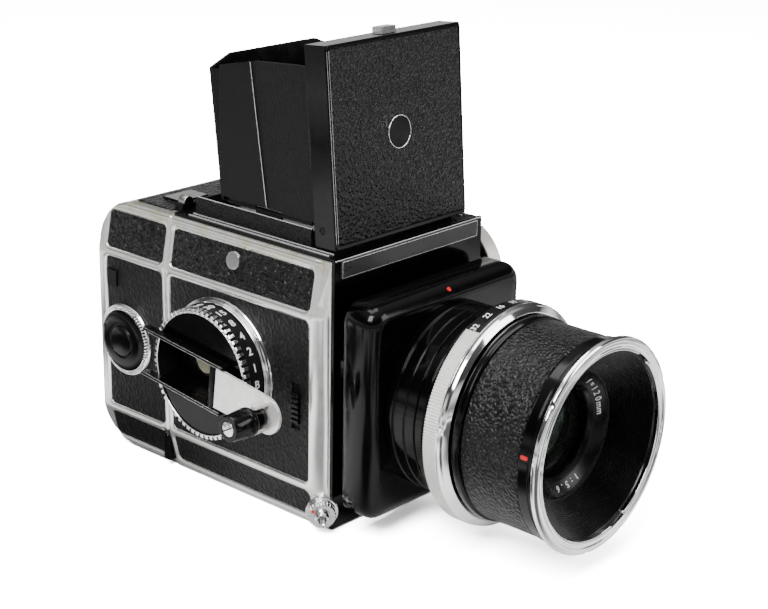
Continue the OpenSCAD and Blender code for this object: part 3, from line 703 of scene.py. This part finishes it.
def speed_dial():
    """Grooved chrome collar, black number drum and square-toothed rim."""
    side = -SIDE_X
    r = high("speed_dial").y - DIAL.y
    top = -low("speed_dial").x
    rim = top - 2.8
    lathe("dial_collar", DIAL_AT,
          raised([(r + 0.1, 0), (r + 1.7, 0), (r + 1.7, 0.5), (r + 1.35, 0.9), (r + 1.5, 1.2),
           (r + 1.45, 1.7), (r + 1.05, 1.95), (r + 1.15, 2.25), (r + 1.0, 2.7), (r + 0.65, 2.9),
           (r + 0.55, 3.15), (r + 0.15, 3.15)], side),
          "body", CHROME, ["dial_outer_ring"], 240, smooth=24)
    lathe("dial_drum", DIAL_AT,
          [(4.06, side + 0.1), (r - 0.2, side + 0.1), (r - 0.1, side + 0.4), (r - 0.55, rim),
           (r - 0.8, rim + 0.05), (r - 0.8, top - 0.25), (23.1, top - 0.25), (23.1, side + 1.3),
           (4.06, side + 1.3)],
          "dial", MATTE, ["speed_dial"], 200)
    cut = teeth(r - 0.5, 60, 1.15, 0.52)
    lathe("dial_rim", DIAL_AT,
          [(r - 1.3, rim + 0.1), (r - 0.3, rim + 0.1), (r, rim + 0.4), (r, top - 0.3),
           (r - 0.25, top), (23.3, top + 0.1), (23.12, top - 0.1), (23.12, top - 0.3),
           (r - 1.3, top - 0.3)],
          "dial", WORN_CHROME, steps=60 * 12, shape=cut, smooth=30)
    speeds = ["B", "1", "2", "4", "8", "15", "30", "60", "125", "250", "500", "1000"]
    for i, speed in enumerate(speeds):
        a = math.radians(3 + 14.5 * i)
        radial = DIAL_AT.to_3x3() @ Vector((math.cos(a), math.sin(a), 0))
        tangent = DIAL_AT.to_3x3() @ Vector((-math.sin(a), math.cos(a), 0))
        centre = Vector((-(side + 3.2 + rim) / 2, DIAL.y, DIAL.z)) + radial * (r - 0.28)
        write(f"speed_{speed}", speed, 4.3 if len(speed) < 3 else 3.1,
              place(centre, radial, tangent), "dial")


def crank():
    """Disc with its channel, rails, floor and centre, in the frame of the crank."""
    rail_in, rail_out = 8.4, 9.7
    floor_h, face, top = 45.2, 54.8, 58.8
    radius = 22.9
    for side in (-1, 1):
        name = "upper" if side > 0 else "lower"
        span = math.degrees(math.acos(rail_out / radius))
        outline = arc((0, 0), radius, side * (90 - span), side * (90 + span), 40)
        slab(f"crank_cheek_{name}", CRANK_AT, outline, floor_h + 0.6, face, "crank", GLOSS,
             edge=0.35)
        lo_y, hi_y = sorted((rail_out * side, rail_in * side))
        slab(f"crank_rail_{name}", CRANK_AT, soft_rectangle(-28, lo_y, 15, hi_y, 0.3, 3),
             face + 0.7, top, "crank", SATIN_ON_GLOSS, edge=0.18)
        slab(f"crank_wall_{name}", CRANK_AT, soft_rectangle(-20.6, lo_y, 15, hi_y, 0.3, 3),
             floor_h + 0.3, face + 0.9, "crank", SATIN_ON_GLOSS, edge=0.1)
        for k, ridge in enumerate((side * (rail_in + 0.12), side * (rail_out - 0.12))):
            slab(f"crank_line_{name}_{k}", CRANK_AT,
                 rectangle(-27.8, ridge - 0.05, 14.8, ridge + 0.05), top - 0.02, top + 0.02,
                 "crank", LINE, edge=0)
    slab("crank_floor", CRANK_AT, arc((0, 0), radius, 0, 354, 90), floor_h, floor_h + 0.6, "crank",
         SATIN_ON_GLOSS, ["crank_body"], 0.1)
    slab("crank_front_bridge", CRANK_AT, soft_rectangle(12, -rail_in, 15, rail_in, 0.4, 3),
         floor_h + 0.6, face + 0.3, "crank", SATIN_ON_GLOSS, edge=0.2)
    eye = CRANK_AT @ Matrix.Translation((-7.0, 0, 0))
    lathe("crank_eye_rim", eye,
          [(0.01, floor_h + 0.5), (5.6, floor_h + 0.5), (5.6, floor_h + 0.68),
           (5.2, floor_h + 0.78), (4.7, floor_h + 0.68), (0.01, floor_h + 0.68)],
          "crank", CHROME, steps=96)
    slab("crank_eye", eye, arc((0, 0), 4.6, 0, 354, 60), floor_h + 0.6, floor_h + 0.76, "crank",
         ("ivory", "satin_black"), edge=0.05)
    pin = [(0.01, 0), (0.85, 0), (0.85, 2 * rail_in), (0.01, 2 * rail_in)]
    lathe("crank_hinge_pin", HINGE_AT @ Matrix.Translation((0, 0, -rail_in)), pin, "crank",
          STEEL, steps=32)


def crank_arm():
    """Polished plate with a rounded tip, its hinge roll and the two lugs of the handle."""
    half, tip = 8.0, 7.2
    low_h, high_h = 56.8, 58.0
    outline = arc((HINGE_X + 1.6, -half + 1), 1, 180, 270, 5)
    outline += arc((HANDLE_X, 0), tip, -84, 84, 28)
    outline += arc((HINGE_X + 1.6, half - 1), 1, 90, 180, 5)
    slab("crank_plate", CRANK_AT, outline, low_h, high_h, "arm", PLATE, ["crank_arm"], 0.3)
    lathe("crank_plate_roll", HINGE_AT @ Matrix.Translation((0, 0, -half)),
          [(0.96, 0), (1.5, 0), (1.6, 0.15), (1.6, 2 * half - 0.15), (1.5, 2 * half),
           (0.96, 2 * half)], "arm", SATIN, steps=48)
    for side in (-1, 1):
        lug = CRANK_AT @ Matrix.Translation((HANDLE_X, side * 5.0, 0)) @ Matrix.Rotation(
            math.radians(90), 4, "X")
        outline = arc((0, 63.5), 1.4, 0, 180, 12) + [(-1.4, high_h - 0.3), (1.4, high_h - 0.3)]
        slab(f"crank_lug_{'lower' if side < 0 else 'upper'}", lug, outline, -0.65, 0.65, "arm",
             PLATE, edge=0.12)


def crank_handle():
    """Smooth tapered grip on a collared foot, with a chrome end screw."""
    grip = CRANK_AT @ Matrix.Translation((HANDLE_X, 0, 0))
    end = 75.8
    profile = [(0.01, 59.3), (2.4, 59.3), (3.8, 60.2), (4.15, 61.6), (4.15, 64.9), (4.9, 65.3),
               (5.25, 65.9), (5.35, 66.9), (5.15, 67.5), (4.95, 67.7), (4.95, 68.0),
               (5.3, 68.4), (5.3, 69.2), (4.8, end - 0.7), (4.55, end), (2.9, end),
               (2.8, end - 0.5), (0.01, end - 0.5)]
    lathe("crank_grip", grip, profile, "handle", GLOSS_PLASTIC, ["crank_handle"], 112, None, 40)
    lathe("crank_grip_screw", grip,
          [(0.01, end - 0.6), (2.75, end - 0.6), (2.75, end - 0.05), (2.4, end + 0.2),
           (0.01, end + 0.32)], "handle", WORN_CHROME, steps=64)
    slab("crank_screw_slot", grip @ Matrix.Rotation(math.radians(35), 4, "Z"),
         rectangle(-2.3, -0.25, 2.3, 0.25), end + 0.1, end + 0.36, "handle", MATTE, edge=0)


def film_knob():
    """Chrome base ring, toothed black knob and centre cap."""
    side = -SIDE_X
    r = high("film_knob").y - KNOB.y
    lathe("knob_base", KNOB_AT,
          raised([(3.0, 0.1), (r, 0.1), (r, 0.8), (r - 0.35, 1.3), (r - 0.9, 1.4),
           (r - 1.2, 1.0), (3.0, 1.0)], side),
          "winding_knob", CHROME, ["film_knob"], 144, smooth=30)
    lathe("knob_teeth", KNOB_AT,
          raised([(9.0, 1.0), (r - 1.5, 1.0), (r - 1.5, 1.9), (r - 1.8, 2.15), (9.0, 2.2)],
           side),
          "winding_knob", WORN_CHROME, steps=64 * 8,
          shape=teeth(r - 2.0, 64, 0.8, 0.45), smooth=30)
    lathe("knob_grip", KNOB_AT,
          raised([(0.01, 1.0), (r - 2.2, 1.0), (r - 2.2, 2.1), (r - 2.7, 2.6), (r - 5.0, 3.1),
           (6.9, 3.2), (6.6, 2.9), (6.2, 2.9), (6.0, 3.4), (5.3, 3.6), (0.01, 3.6)], side),
          "winding_knob", GLOSS_PLASTIC, steps=180)


def focusing_knob():
    """Turned alloy knob with a knurled rim on the far side."""
    hi = high("focusing_knob")
    at = place((0, middle("focusing_knob").y, middle("focusing_knob").z), (1, 0, 0))
    outer = (hi.y - low("focusing_knob").y) / 2
    dish = outer - 4.8
    ribs = 120

    def knurl(angle, radius, height):
        wave = 0.35 * (0.5 + 0.5 * math.cos(ribs * angle))
        return radius - wave if radius > outer - 0.3 else radius

    lathe("focusing_grip", at,
          [(3.0, 44.0), (9.0, 44.0), (9.0, 49.0), (outer - 4, 49.0), (outer - 4, 50.5),
           (outer - 0.6, 50.5), (outer, 51.2), (outer, 55.8), (outer - 0.8, hi.x),
           (outer - 3.6, hi.x), (dish, hi.x - 0.4), (dish - 0.4, hi.x - 1.3),
           (6.0, hi.x - 1.4), (5.6, hi.x - 1.0), (0.01, hi.x - 0.9), (0.01, 44.0)],
          "focus_knob", ("alloy", "knurled_metal"), steps=ribs * 4, shape=knurl, smooth=40)
    for i in range(24):
        reach = dish - (0.8 if i % 2 == 0 else 2.4)
        slab(f"focus_tick_{i}", at @ Matrix.Rotation(TAU * i / 24, 4, "Z"),
             rectangle(dish - 4.2, -0.12, reach, 0.12), hi.x - 1.4, hi.x - 1.32, "focus_knob",
             MATTE, edge=0)


def release():
    """Collar, ribbed lock ring and hollow plunger on the front corner."""
    lathe("release_seat", RELEASE_AT,
          [(3.0, -0.2), (6.0, -0.2), (6.0, 0.6), (5.7, 1.2), (5.2, 1.3), (5.0, 1.9), (3.05, 2.0)],
          "body", CHROME, ["release_collar"], 96)
    lathe("release_lock", RELEASE_AT,
          [(3.0, 2.1), (4.7, 2.1), (5.0, 2.4), (5.0, 4.2), (4.6, 4.7), (3.05, 4.7)],
          "lock_ring", WORN_CHROME, ["release_lock_ring"], 24 * 8,
          teeth(4.9, 24, 0.4, 0.6), 30)
    lathe("release_plunger", RELEASE_AT,
          [(1.5, 3.1), (1.5, 7.7), (1.8, 8.0), (2.2, 8.0), (2.7, 7.5), (2.9, 7.0), (2.9, -4.9),
           (0.01, -4.9), (0.01, 3.1)],
          "release", CHROME, ["release_button"], 72)
    slab("release_mark", RELEASE_AT @ Matrix.Rotation(math.radians(150), 4, "Z"),
         rectangle(3.3, -0.5, 4.5, 0.5), 4.65, 4.8, "lock_ring", ("red", "chrome_bright"),
         edge=0.05)


# ---------------------------------------------------------------- hood, top and small parts

def lid_dressing():
    """Leather panel of the lid with its black lip, two bright lines painted as a highlight along
    the lip's left side, and a blank badge.
    """
    face = LID_AT @ Matrix.Rotation(math.radians(90), 4, "X")
    half, tall = high("hood_lid").x, 71.0
    slab("lid_leather", face, soft_rectangle(-half + 1.7, 1.8, half - 1.3, tall - 1.5, 1.2, 6),
         0.0, 0.5, "lid", ("leather", "leather_black"), edge=0.35)
    outer = soft_rectangle(-half + 0.1, 0.1, half - 0.1, tall - 0.1, 1.4, 6)
    inner = soft_rectangle(-half + 1.5, 1.6, half - 1.1, tall - 1.3, 1.2, 6)
    border("lid_border", face, outer, inner, 0.35, "lid", GLOSS)
    # Bright strips on the left of the lip only: a painted highlight where the light catches that
    # edge.
    for k, x in enumerate((0.35, 1.35)):
        slab(f"lid_painted_highlight_{k}", face, rectangle(-half + x, 2.5, -half + x + 0.14, tall - 2),
             0.3, 0.39, "lid", LINE, edge=0)
    badge = face @ Matrix.Translation((0, 36.5, 0))
    lathe("lid_badge_rim", badge,
          [(5.7, 0.3), (6.0, 0.3), (6.0, 0.65), (5.95, 0.7), (5.75, 0.7), (5.7, 0.65)], "lid",
          CHROME, steps=96)
    lathe("lid_badge", badge, [(0.01, 0.3), (5.75, 0.3), (5.75, 0.62), (0.01, 0.66)], "lid", GLOSS,
          steps=96)


def leaf_edges():
    """Bright worn edges of the overlapping rear plates of the two leaves."""
    for side, body, z in ((-1, "leaf_left", 110.8), (1, "leaf_right", 109.2)):
        at = place((side * 34.0, 0, 0), (side, 0, 0))
        outline = [(side * 38.0, z + 1.6), (side * 38.25, z + 1.6), (side * 46.2, 163.8),
                   (side * 45.95, 163.8)]
        slab(f"{body}_worn_edge", at, outline, -0.05, 0.04, body, LINE_ON_SATIN, edge=0)


def top_dressing():
    """Bright slide rails beside the hood, and the edge line of the nameplate."""
    for side, word in SIDES:
        for k, x in enumerate((34.9, 37.3)):
            slab(f"top_rail_{word}_{k}", place((side * x, 40, TOP_Z), (0, 0, 1), (0, 1, 0)),
                 soft_rectangle(-0.25, -36, 0.25, 36, 0.1, 2), -0.1, 0.35, "body", LINE_ON_SATIN,
                 edge=0.08)
    section = [(-0.2, 102.6), (1.3, 102.6), (1.15, 108.6)] + arc((0.55, 108.7), 0.6, 0, 180, 8)
    loops = [[(-33.6 - x, y, z) for x, z in section] for y in (15.0, 74.6)]
    loft("hood_base_skirt", HERE, loops, "body", ("leather_flat", "satin_black"))
    crest = [[(-34.15 + 0.22 * math.cos(t * TAU / 8), y, 109.25 + 0.22 * math.sin(t * TAU / 8))
              for t in range(8)] for y in (15.3, 74.3)]
    loft("hood_base_crest", HERE, crest, "body", LINE_ON_SATIN)
    plate = middle("name_plate")
    face = place((plate.x, low("name_plate").y, plate.z), (0, -1, 0))
    outer = soft_rectangle(-36.7, -2.95, 36.7, 3.0, 0.4, 3)
    inner = soft_rectangle(-36.58, -2.83, 36.58, 2.8, 0.3, 3)
    border("name_plate_border", face, outer, inner, 0.06, "body", ("line", "name_grey"))
    slab("front_top_line", place((0, low("front_plate").y, TOP_Z), (0, -1, 0)),
         rectangle(-39.6, -0.45, 39.6, -0.1), 0, 0.12, "body", LINE, edge=0.03)


def slide_backing():
    """Thin black plate behind the multiple exposure slide, where its slot is open."""
    slide = middle("multiple_exposure_slide")
    at = place((high("multiple_exposure_slide").x + 0.1, slide.y, slide.z + 0.75), (-1, 0, 0))
    slab("slide_backing", at, soft_rectangle(-2.15, -8.9, 2.15, 8.9, 0.3, 3), 0, 0.08, "body",
         MATTE, edge=0)


def magazine_dressing():
    """Window, memo plate and small fittings of the magazine."""
    window = place((low("magazine_leather").x, 113.7, 70.8), (-1, 0, 0))
    slab("counter_window_frame", window, soft_rectangle(-2.9, -3.4, 2.9, 3.4, 0.5, 4), -0.2, 0.5,
         "magazine", ("gloss", "satin_black"), edge=0.2)
    slab("counter_window_pane", window, soft_rectangle(-1.9, -2.3, 1.9, 2.3, 0.3, 3), 0.5, 0.56,
         "magazine", SATIN, edge=0)
    slab("counter_window_mark", window, [(-0.9, -0.5), (-0.2, -0.9), (0.2, 0.9), (-0.5, 0.7)],
         0.56, 0.6, "magazine", ("white", "satin_black"), edge=0)
    top = high("body_casting").z
    memo = place((-20, 97, top + 0.9), (0, 0, 1), (0, 1, 0))
    slab("memo_plate", memo, soft_rectangle(-6.8, -4.8, 6.8, 4.8, 0.6, 4), 0, 0.25, "magazine",
         ("pale", "satin_black"), edge=0.1)
    lathe("hook_pin", place((-31, 82.9, top + 3.4), (0, 1, 0)),
          [(0.9, 0), (2.2, 0), (2.3, 0.3), (2.3, 3.2), (2.2, 3.5), (0.9, 3.5)], "magazine",
          STEEL, steps=48)


def panel_leather():
    """Coarser, glossier leather on the upper panels than on the flat middle and lower ones."""
    upper_from = 81 * MM
    for name in ("side_leather_left", "side_leather_right", "magazine_leather"):
        f = Finish(f"{name}_grain", Specular_IOR_Level=0.24)
        upper = f.maths("GREATER_THAN", f.axis("Z"), upper_from)
        height, domes = f.pebbles(1.45)
        fine = f.noise(1300, 4.0, 0.65)
        flat = f.maths("ADD", f.maths("MULTIPLY", domes, 0.3), f.maths("MULTIPLY", fine, 0.5))
        f.set("Base Color", f.mix(domes, grey(0.001), grey(0.004)))
        f.set("Roughness", f.mix(upper, grey(0.36), f.ramp(fine, 0.3, 0.7, 0.18, 0.28)))
        f.bump(f.mix(upper, flat, height), 1.0, 0.75, 0.4)
        use_finish(name, f.material)


def pleated_bellows():
    """Pleated bellows cloth, a fixed mesh in the scene's frame."""
    lo, hi = low("bellows"), high("bellows")
    folds, depth, thickness = 9, 2.6, 0.5
    steps = range(folds * 2 + 1)

    def fold(i, wall):
        y = lo.y + (hi.y - lo.y) * i / (folds * 2)
        inset = wall + (depth if i % 2 else 0.0)
        outline = soft_rectangle(lo.x + inset, lo.z + inset, hi.x - inset, hi.z - inset, 3, 4)
        return [(x, y, z) for x, z in outline]

    loops = [fold(i, 0.0) for i in steps] + [fold(i, thickness) for i in reversed(steps)]
    piece = ring("bellows_cloth", HERE, loops, None, ("cloth", "black_cloth"), ["bellows"])
    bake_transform(piece)


# ---------------------------------------------------------------- silver beads of the sides

HALF_W = high("body_casting").x
HALF_EDGE = 39.9
LOW_CREASE = 15.9
HIGH_CREASE = 81.1
FRONT_RUN = 8.0
FRONT_R = 10.41
LOW_SLOPE = math.atan2(HALF_W - HALF_EDGE, LOW_CREASE)
HIGH_SLOPE = math.atan2(HALF_W - HALF_EDGE, high("body_casting").z - HIGH_CREASE)
LOW_LEN = LOW_CREASE / math.cos(LOW_SLOPE)
HIGH_LEN = (high("body_casting").z - HIGH_CREASE) / math.cos(HIGH_SLOPE)


def box_distance(y, t, y0, t0, y1, t1, r):
    """Signed distance from a point to a rectangle with rounded corners."""
    qy = abs(y - (y0 + y1) / 2) - (y1 - y0) / 2 + r
    qt = abs(t - (t0 + t1) / 2) - (t1 - t0) / 2 + r
    return math.hypot(max(qy, 0), max(qt, 0)) + min(max(qy, qt), 0) - r


def side_point(side, y, t, rise):
    """Point of the eight-sided flank: y along it, t up its unfolded face, rise above it."""
    x, z, out, up = HALF_W, t, 1.0, 0.0
    if t > HIGH_CREASE:
        run = t - HIGH_CREASE
        out, up = math.cos(HIGH_SLOPE), math.sin(HIGH_SLOPE)
        x, z = HALF_W - run * up, HIGH_CREASE + run * out
    elif t < LOW_CREASE:
        run = LOW_CREASE - t
        out, up = math.cos(LOW_SLOPE), -math.sin(LOW_SLOPE)
        x, z = HALF_W + run * up, LOW_CREASE - run * out
    if y < FRONT_RUN:
        x -= FRONT_R - math.sqrt(FRONT_R ** 2 - (FRONT_RUN - y) ** 2)
    return Vector((side * (x + out * rise), y, z + up * rise))


def half_round(distance, width):
    """Cross-section of a bead: 0 at its edge, 1 from a width inwards."""
    u = min(max(distance / width, 0), 1)
    return math.sqrt(1 - (1 - u) ** 2)


def bead_sheet(name, side, body, y0, y1, panel_y0, panel_y1, rear_r, cut):
    """Half-round silver bands around the three leather panels of one flank."""
    spans = ((HIGH_CREASE + 1.8, HIGH_CREASE + HIGH_LEN - 4.2),
             (LOW_CREASE + 1.8, HIGH_CREASE - 1.8),
             (LOW_CREASE - LOW_LEN + 3.6, LOW_CREASE - 1.8))
    t0, t1 = LOW_CREASE - LOW_LEN, HIGH_CREASE + HIGH_LEN
    top = high("body_casting").z
    step, rise, sunk = 0.4, 0.8, 0.15
    ny, nt = round((y1 - y0) / step), round((t1 - t0) / step)
    bm = bmesh.new()
    grid = {}
    for i in range(ny + 1):
        for k in range(nt + 1):
            y, t = y0 + (y1 - y0) * i / ny, t0 + (t1 - t0) * k / nt
            d = min(box_distance(y, t, panel_y0, a, panel_y1, b, 2) for a, b in spans)
            z = side_point(side, y, t, 0).z
            if rear_r:
                edge = min(y - y0, -box_distance(y, z, y0 - 60, 0, y1, top, rear_r))
            else:
                edge = min(y - y0, y1 - y, t - t0, t1 - t)
            if d < -0.2 or edge < -0.5:
                continue
            height = (rise + sunk) * min(half_round(d, 1.75), half_round(edge, 1.5)) - sunk
            height += min(d, 0) + min(edge, 0)
            point = side_point(side, y, t, height)
            if cut and cut(point):
                continue
            grid[i, k] = bm.verts.new(point)
    for i, k in grid:
        corners = [(i, k), (i + 1, k), (i + 1, k + 1), (i, k + 1)]
        if all(c in grid for c in corners):
            bm.faces.new([grid[c] for c in corners])
    loose = [v for v in bm.verts if not v.link_faces]
    bmesh.ops.delete(bm, geom=loose, context="VERTS")
    bmesh.ops.recalc_face_normals(bm, faces=bm.faces)
    bmesh.ops.solidify(bm, geom=bm.faces[:], thickness=0.25)
    return add_piece(name, bm, HERE, body, ("silver", "silver_frame"), smooth=60)


def side_beads():
    """The silver beads of both flanks, cut away around the release and the catch."""
    body_back, back = high("body_casting").y, high("magazine_shell").y
    split = low("magazine_shell").y

    def at_release(point):
        away = point - RELEASE
        return (away - RELEASE_LINE * away.dot(RELEASE_LINE)).length < 6.5

    def at_catch(point):
        return point.y < split + 4.2 and point.z < 15.9

    for side, word in SIDES:
        left = side < 0
        bead_sheet(f"body_beads_{word}", side, "body", 0.3, body_back, FRONT_RUN - 0.8,
                   body_back - 2.3, 0, at_release if left else None)
        bead_sheet(f"magazine_beads_{word}", side, "magazine", split, back,
                   split + (2.2 if left else 5.7), back - 4.6, 15,
                   at_catch if left else None)


# ---------------------------------------------------------------- floor, light and camera

PAPER_WHITE = grey(14.0)


def floor():
    """Pale floor, brighter to the camera than in the reflections of dark lacquer."""
    bm = bmesh.new()
    bmesh.ops.create_grid(bm, x_segments=24, y_segments=24, size=3.0)
    mesh = bpy.data.meshes.new("floor")
    bm.to_mesh(mesh)
    bm.free()
    obj = put("floor", mesh)
    f = Finish("floor_paper", Roughness=0.9, Specular_IOR_Level=0.0)
    path = f.add("LightPath")
    patches = f.ramp(f.noise(7, 1.0), 0.42, 0.58)
    reflected = f.mix(patches, grey(0.06), grey(0.95))
    bounced = f.mix(path.outputs["Is Glossy Ray"], grey(0.5), reflected)
    f.set("Base Color", f.mix(path.outputs["Is Camera Ray"], bounced, PAPER_WHITE))
    obj.data.materials.append(f.material)


def world():
    """Bright studio backdrop to the camera, dim surroundings in reflections."""
    sky = bpy.data.worlds.new("studio")
    bpy.context.scene.world = sky
    sky.use_nodes = True
    f = Nodes(sky.node_tree)
    split = f.add("SeparateXYZ", {"Vector": f.add("TexCoord").outputs["Generated"]})
    ramp = f.add("ValToRGB", {"Fac": split.outputs["Z"]})
    stops = ramp.color_ramp.elements
    stops[0].position, stops[0].color = 0.0, grey(0.3)
    stops[1].position, stops[1].color = 1.0, grey(1.0)
    for position, value in ((0.1, 1.2), (0.22, 0.05), (0.5, 0.1)):
        stops.new(position).color = grey(value)
    path = f.add("LightPath")
    around_it = f.mix(path.outputs["Is Diffuse Ray"], ramp.outputs["Color"], grey(0.3))
    background = f.tree.nodes["Background"]
    f.feed(background.inputs["Color"],
           f.mix(path.outputs["Is Camera Ray"], around_it, PAPER_WHITE))
    background.inputs["Strength"].default_value = 1.0


def softbox(name, at, aim, size, power):
    """A large square light that points at a place on the object."""
    data = bpy.data.lights.new(name, "AREA")
    data.size = size
    data.energy = power
    light = put(name, data)
    light.location = at
    light.rotation_euler = (Vector(aim) - Vector(at)).to_track_quat("-Z", "Y").to_euler()


def camera():
    """Camera at the viewing angle of a product picture: front left, a little above."""
    data = bpy.data.cameras.new("camera")
    data.sensor_width = 36.0
    data.lens = 80.39
    data.clip_start = 0.01
    view = put("camera", data)
    yaw, pitch, roll = (math.radians(v) for v in (-48.39, -19.21, 1.13))
    ahead = Vector((-math.sin(yaw) * math.cos(pitch), math.cos(yaw) * math.cos(pitch),
                    math.sin(pitch)))
    right = Vector((math.cos(yaw), math.sin(yaw), 0))
    up = right.cross(ahead)
    right_rolled = math.cos(roll) * right + math.sin(roll) * up
    up_rolled = -math.sin(roll) * right + math.cos(roll) * up
    turned = Matrix((right_rolled, up_rolled, -ahead)).transposed().to_4x4()
    view.matrix_world = Matrix.Translation(Vector((-446.87, -385.70, 282.24)) * MM) @ turned
    bpy.context.scene.camera = view


def dress_cad_nodes():
    """Finishes for the CAD nodes that stay visible as they are."""
    for finish, names in NODE_FINISH.items():
        for name in names:
            use_finish(name, M[finish])


dress_cad_nodes()
panel_leather()
standard()
lens_rear()
aperture_ring()
barrel()
front_bayonet()
baffle()
speed_dial()
crank()
crank_arm()
crank_handle()
film_knob()
focusing_knob()
release()
lid_dressing()
leaf_edges()
top_dressing()
slide_backing()
magazine_dressing()
pleated_bellows()
side_beads()
floor()
world()
softbox("key", (-0.9, -0.3, 1.1), (0, 0.02, 0.05), 0.7, 32)
softbox("front_fill", (0.7, -1.2, 0.7), (0, -0.04, 0.05), 0.7, 11)
softbox("top", (0.1, 0.3, 1.5), (0, 0.02, 0.05), 1.0, 18)
camera()
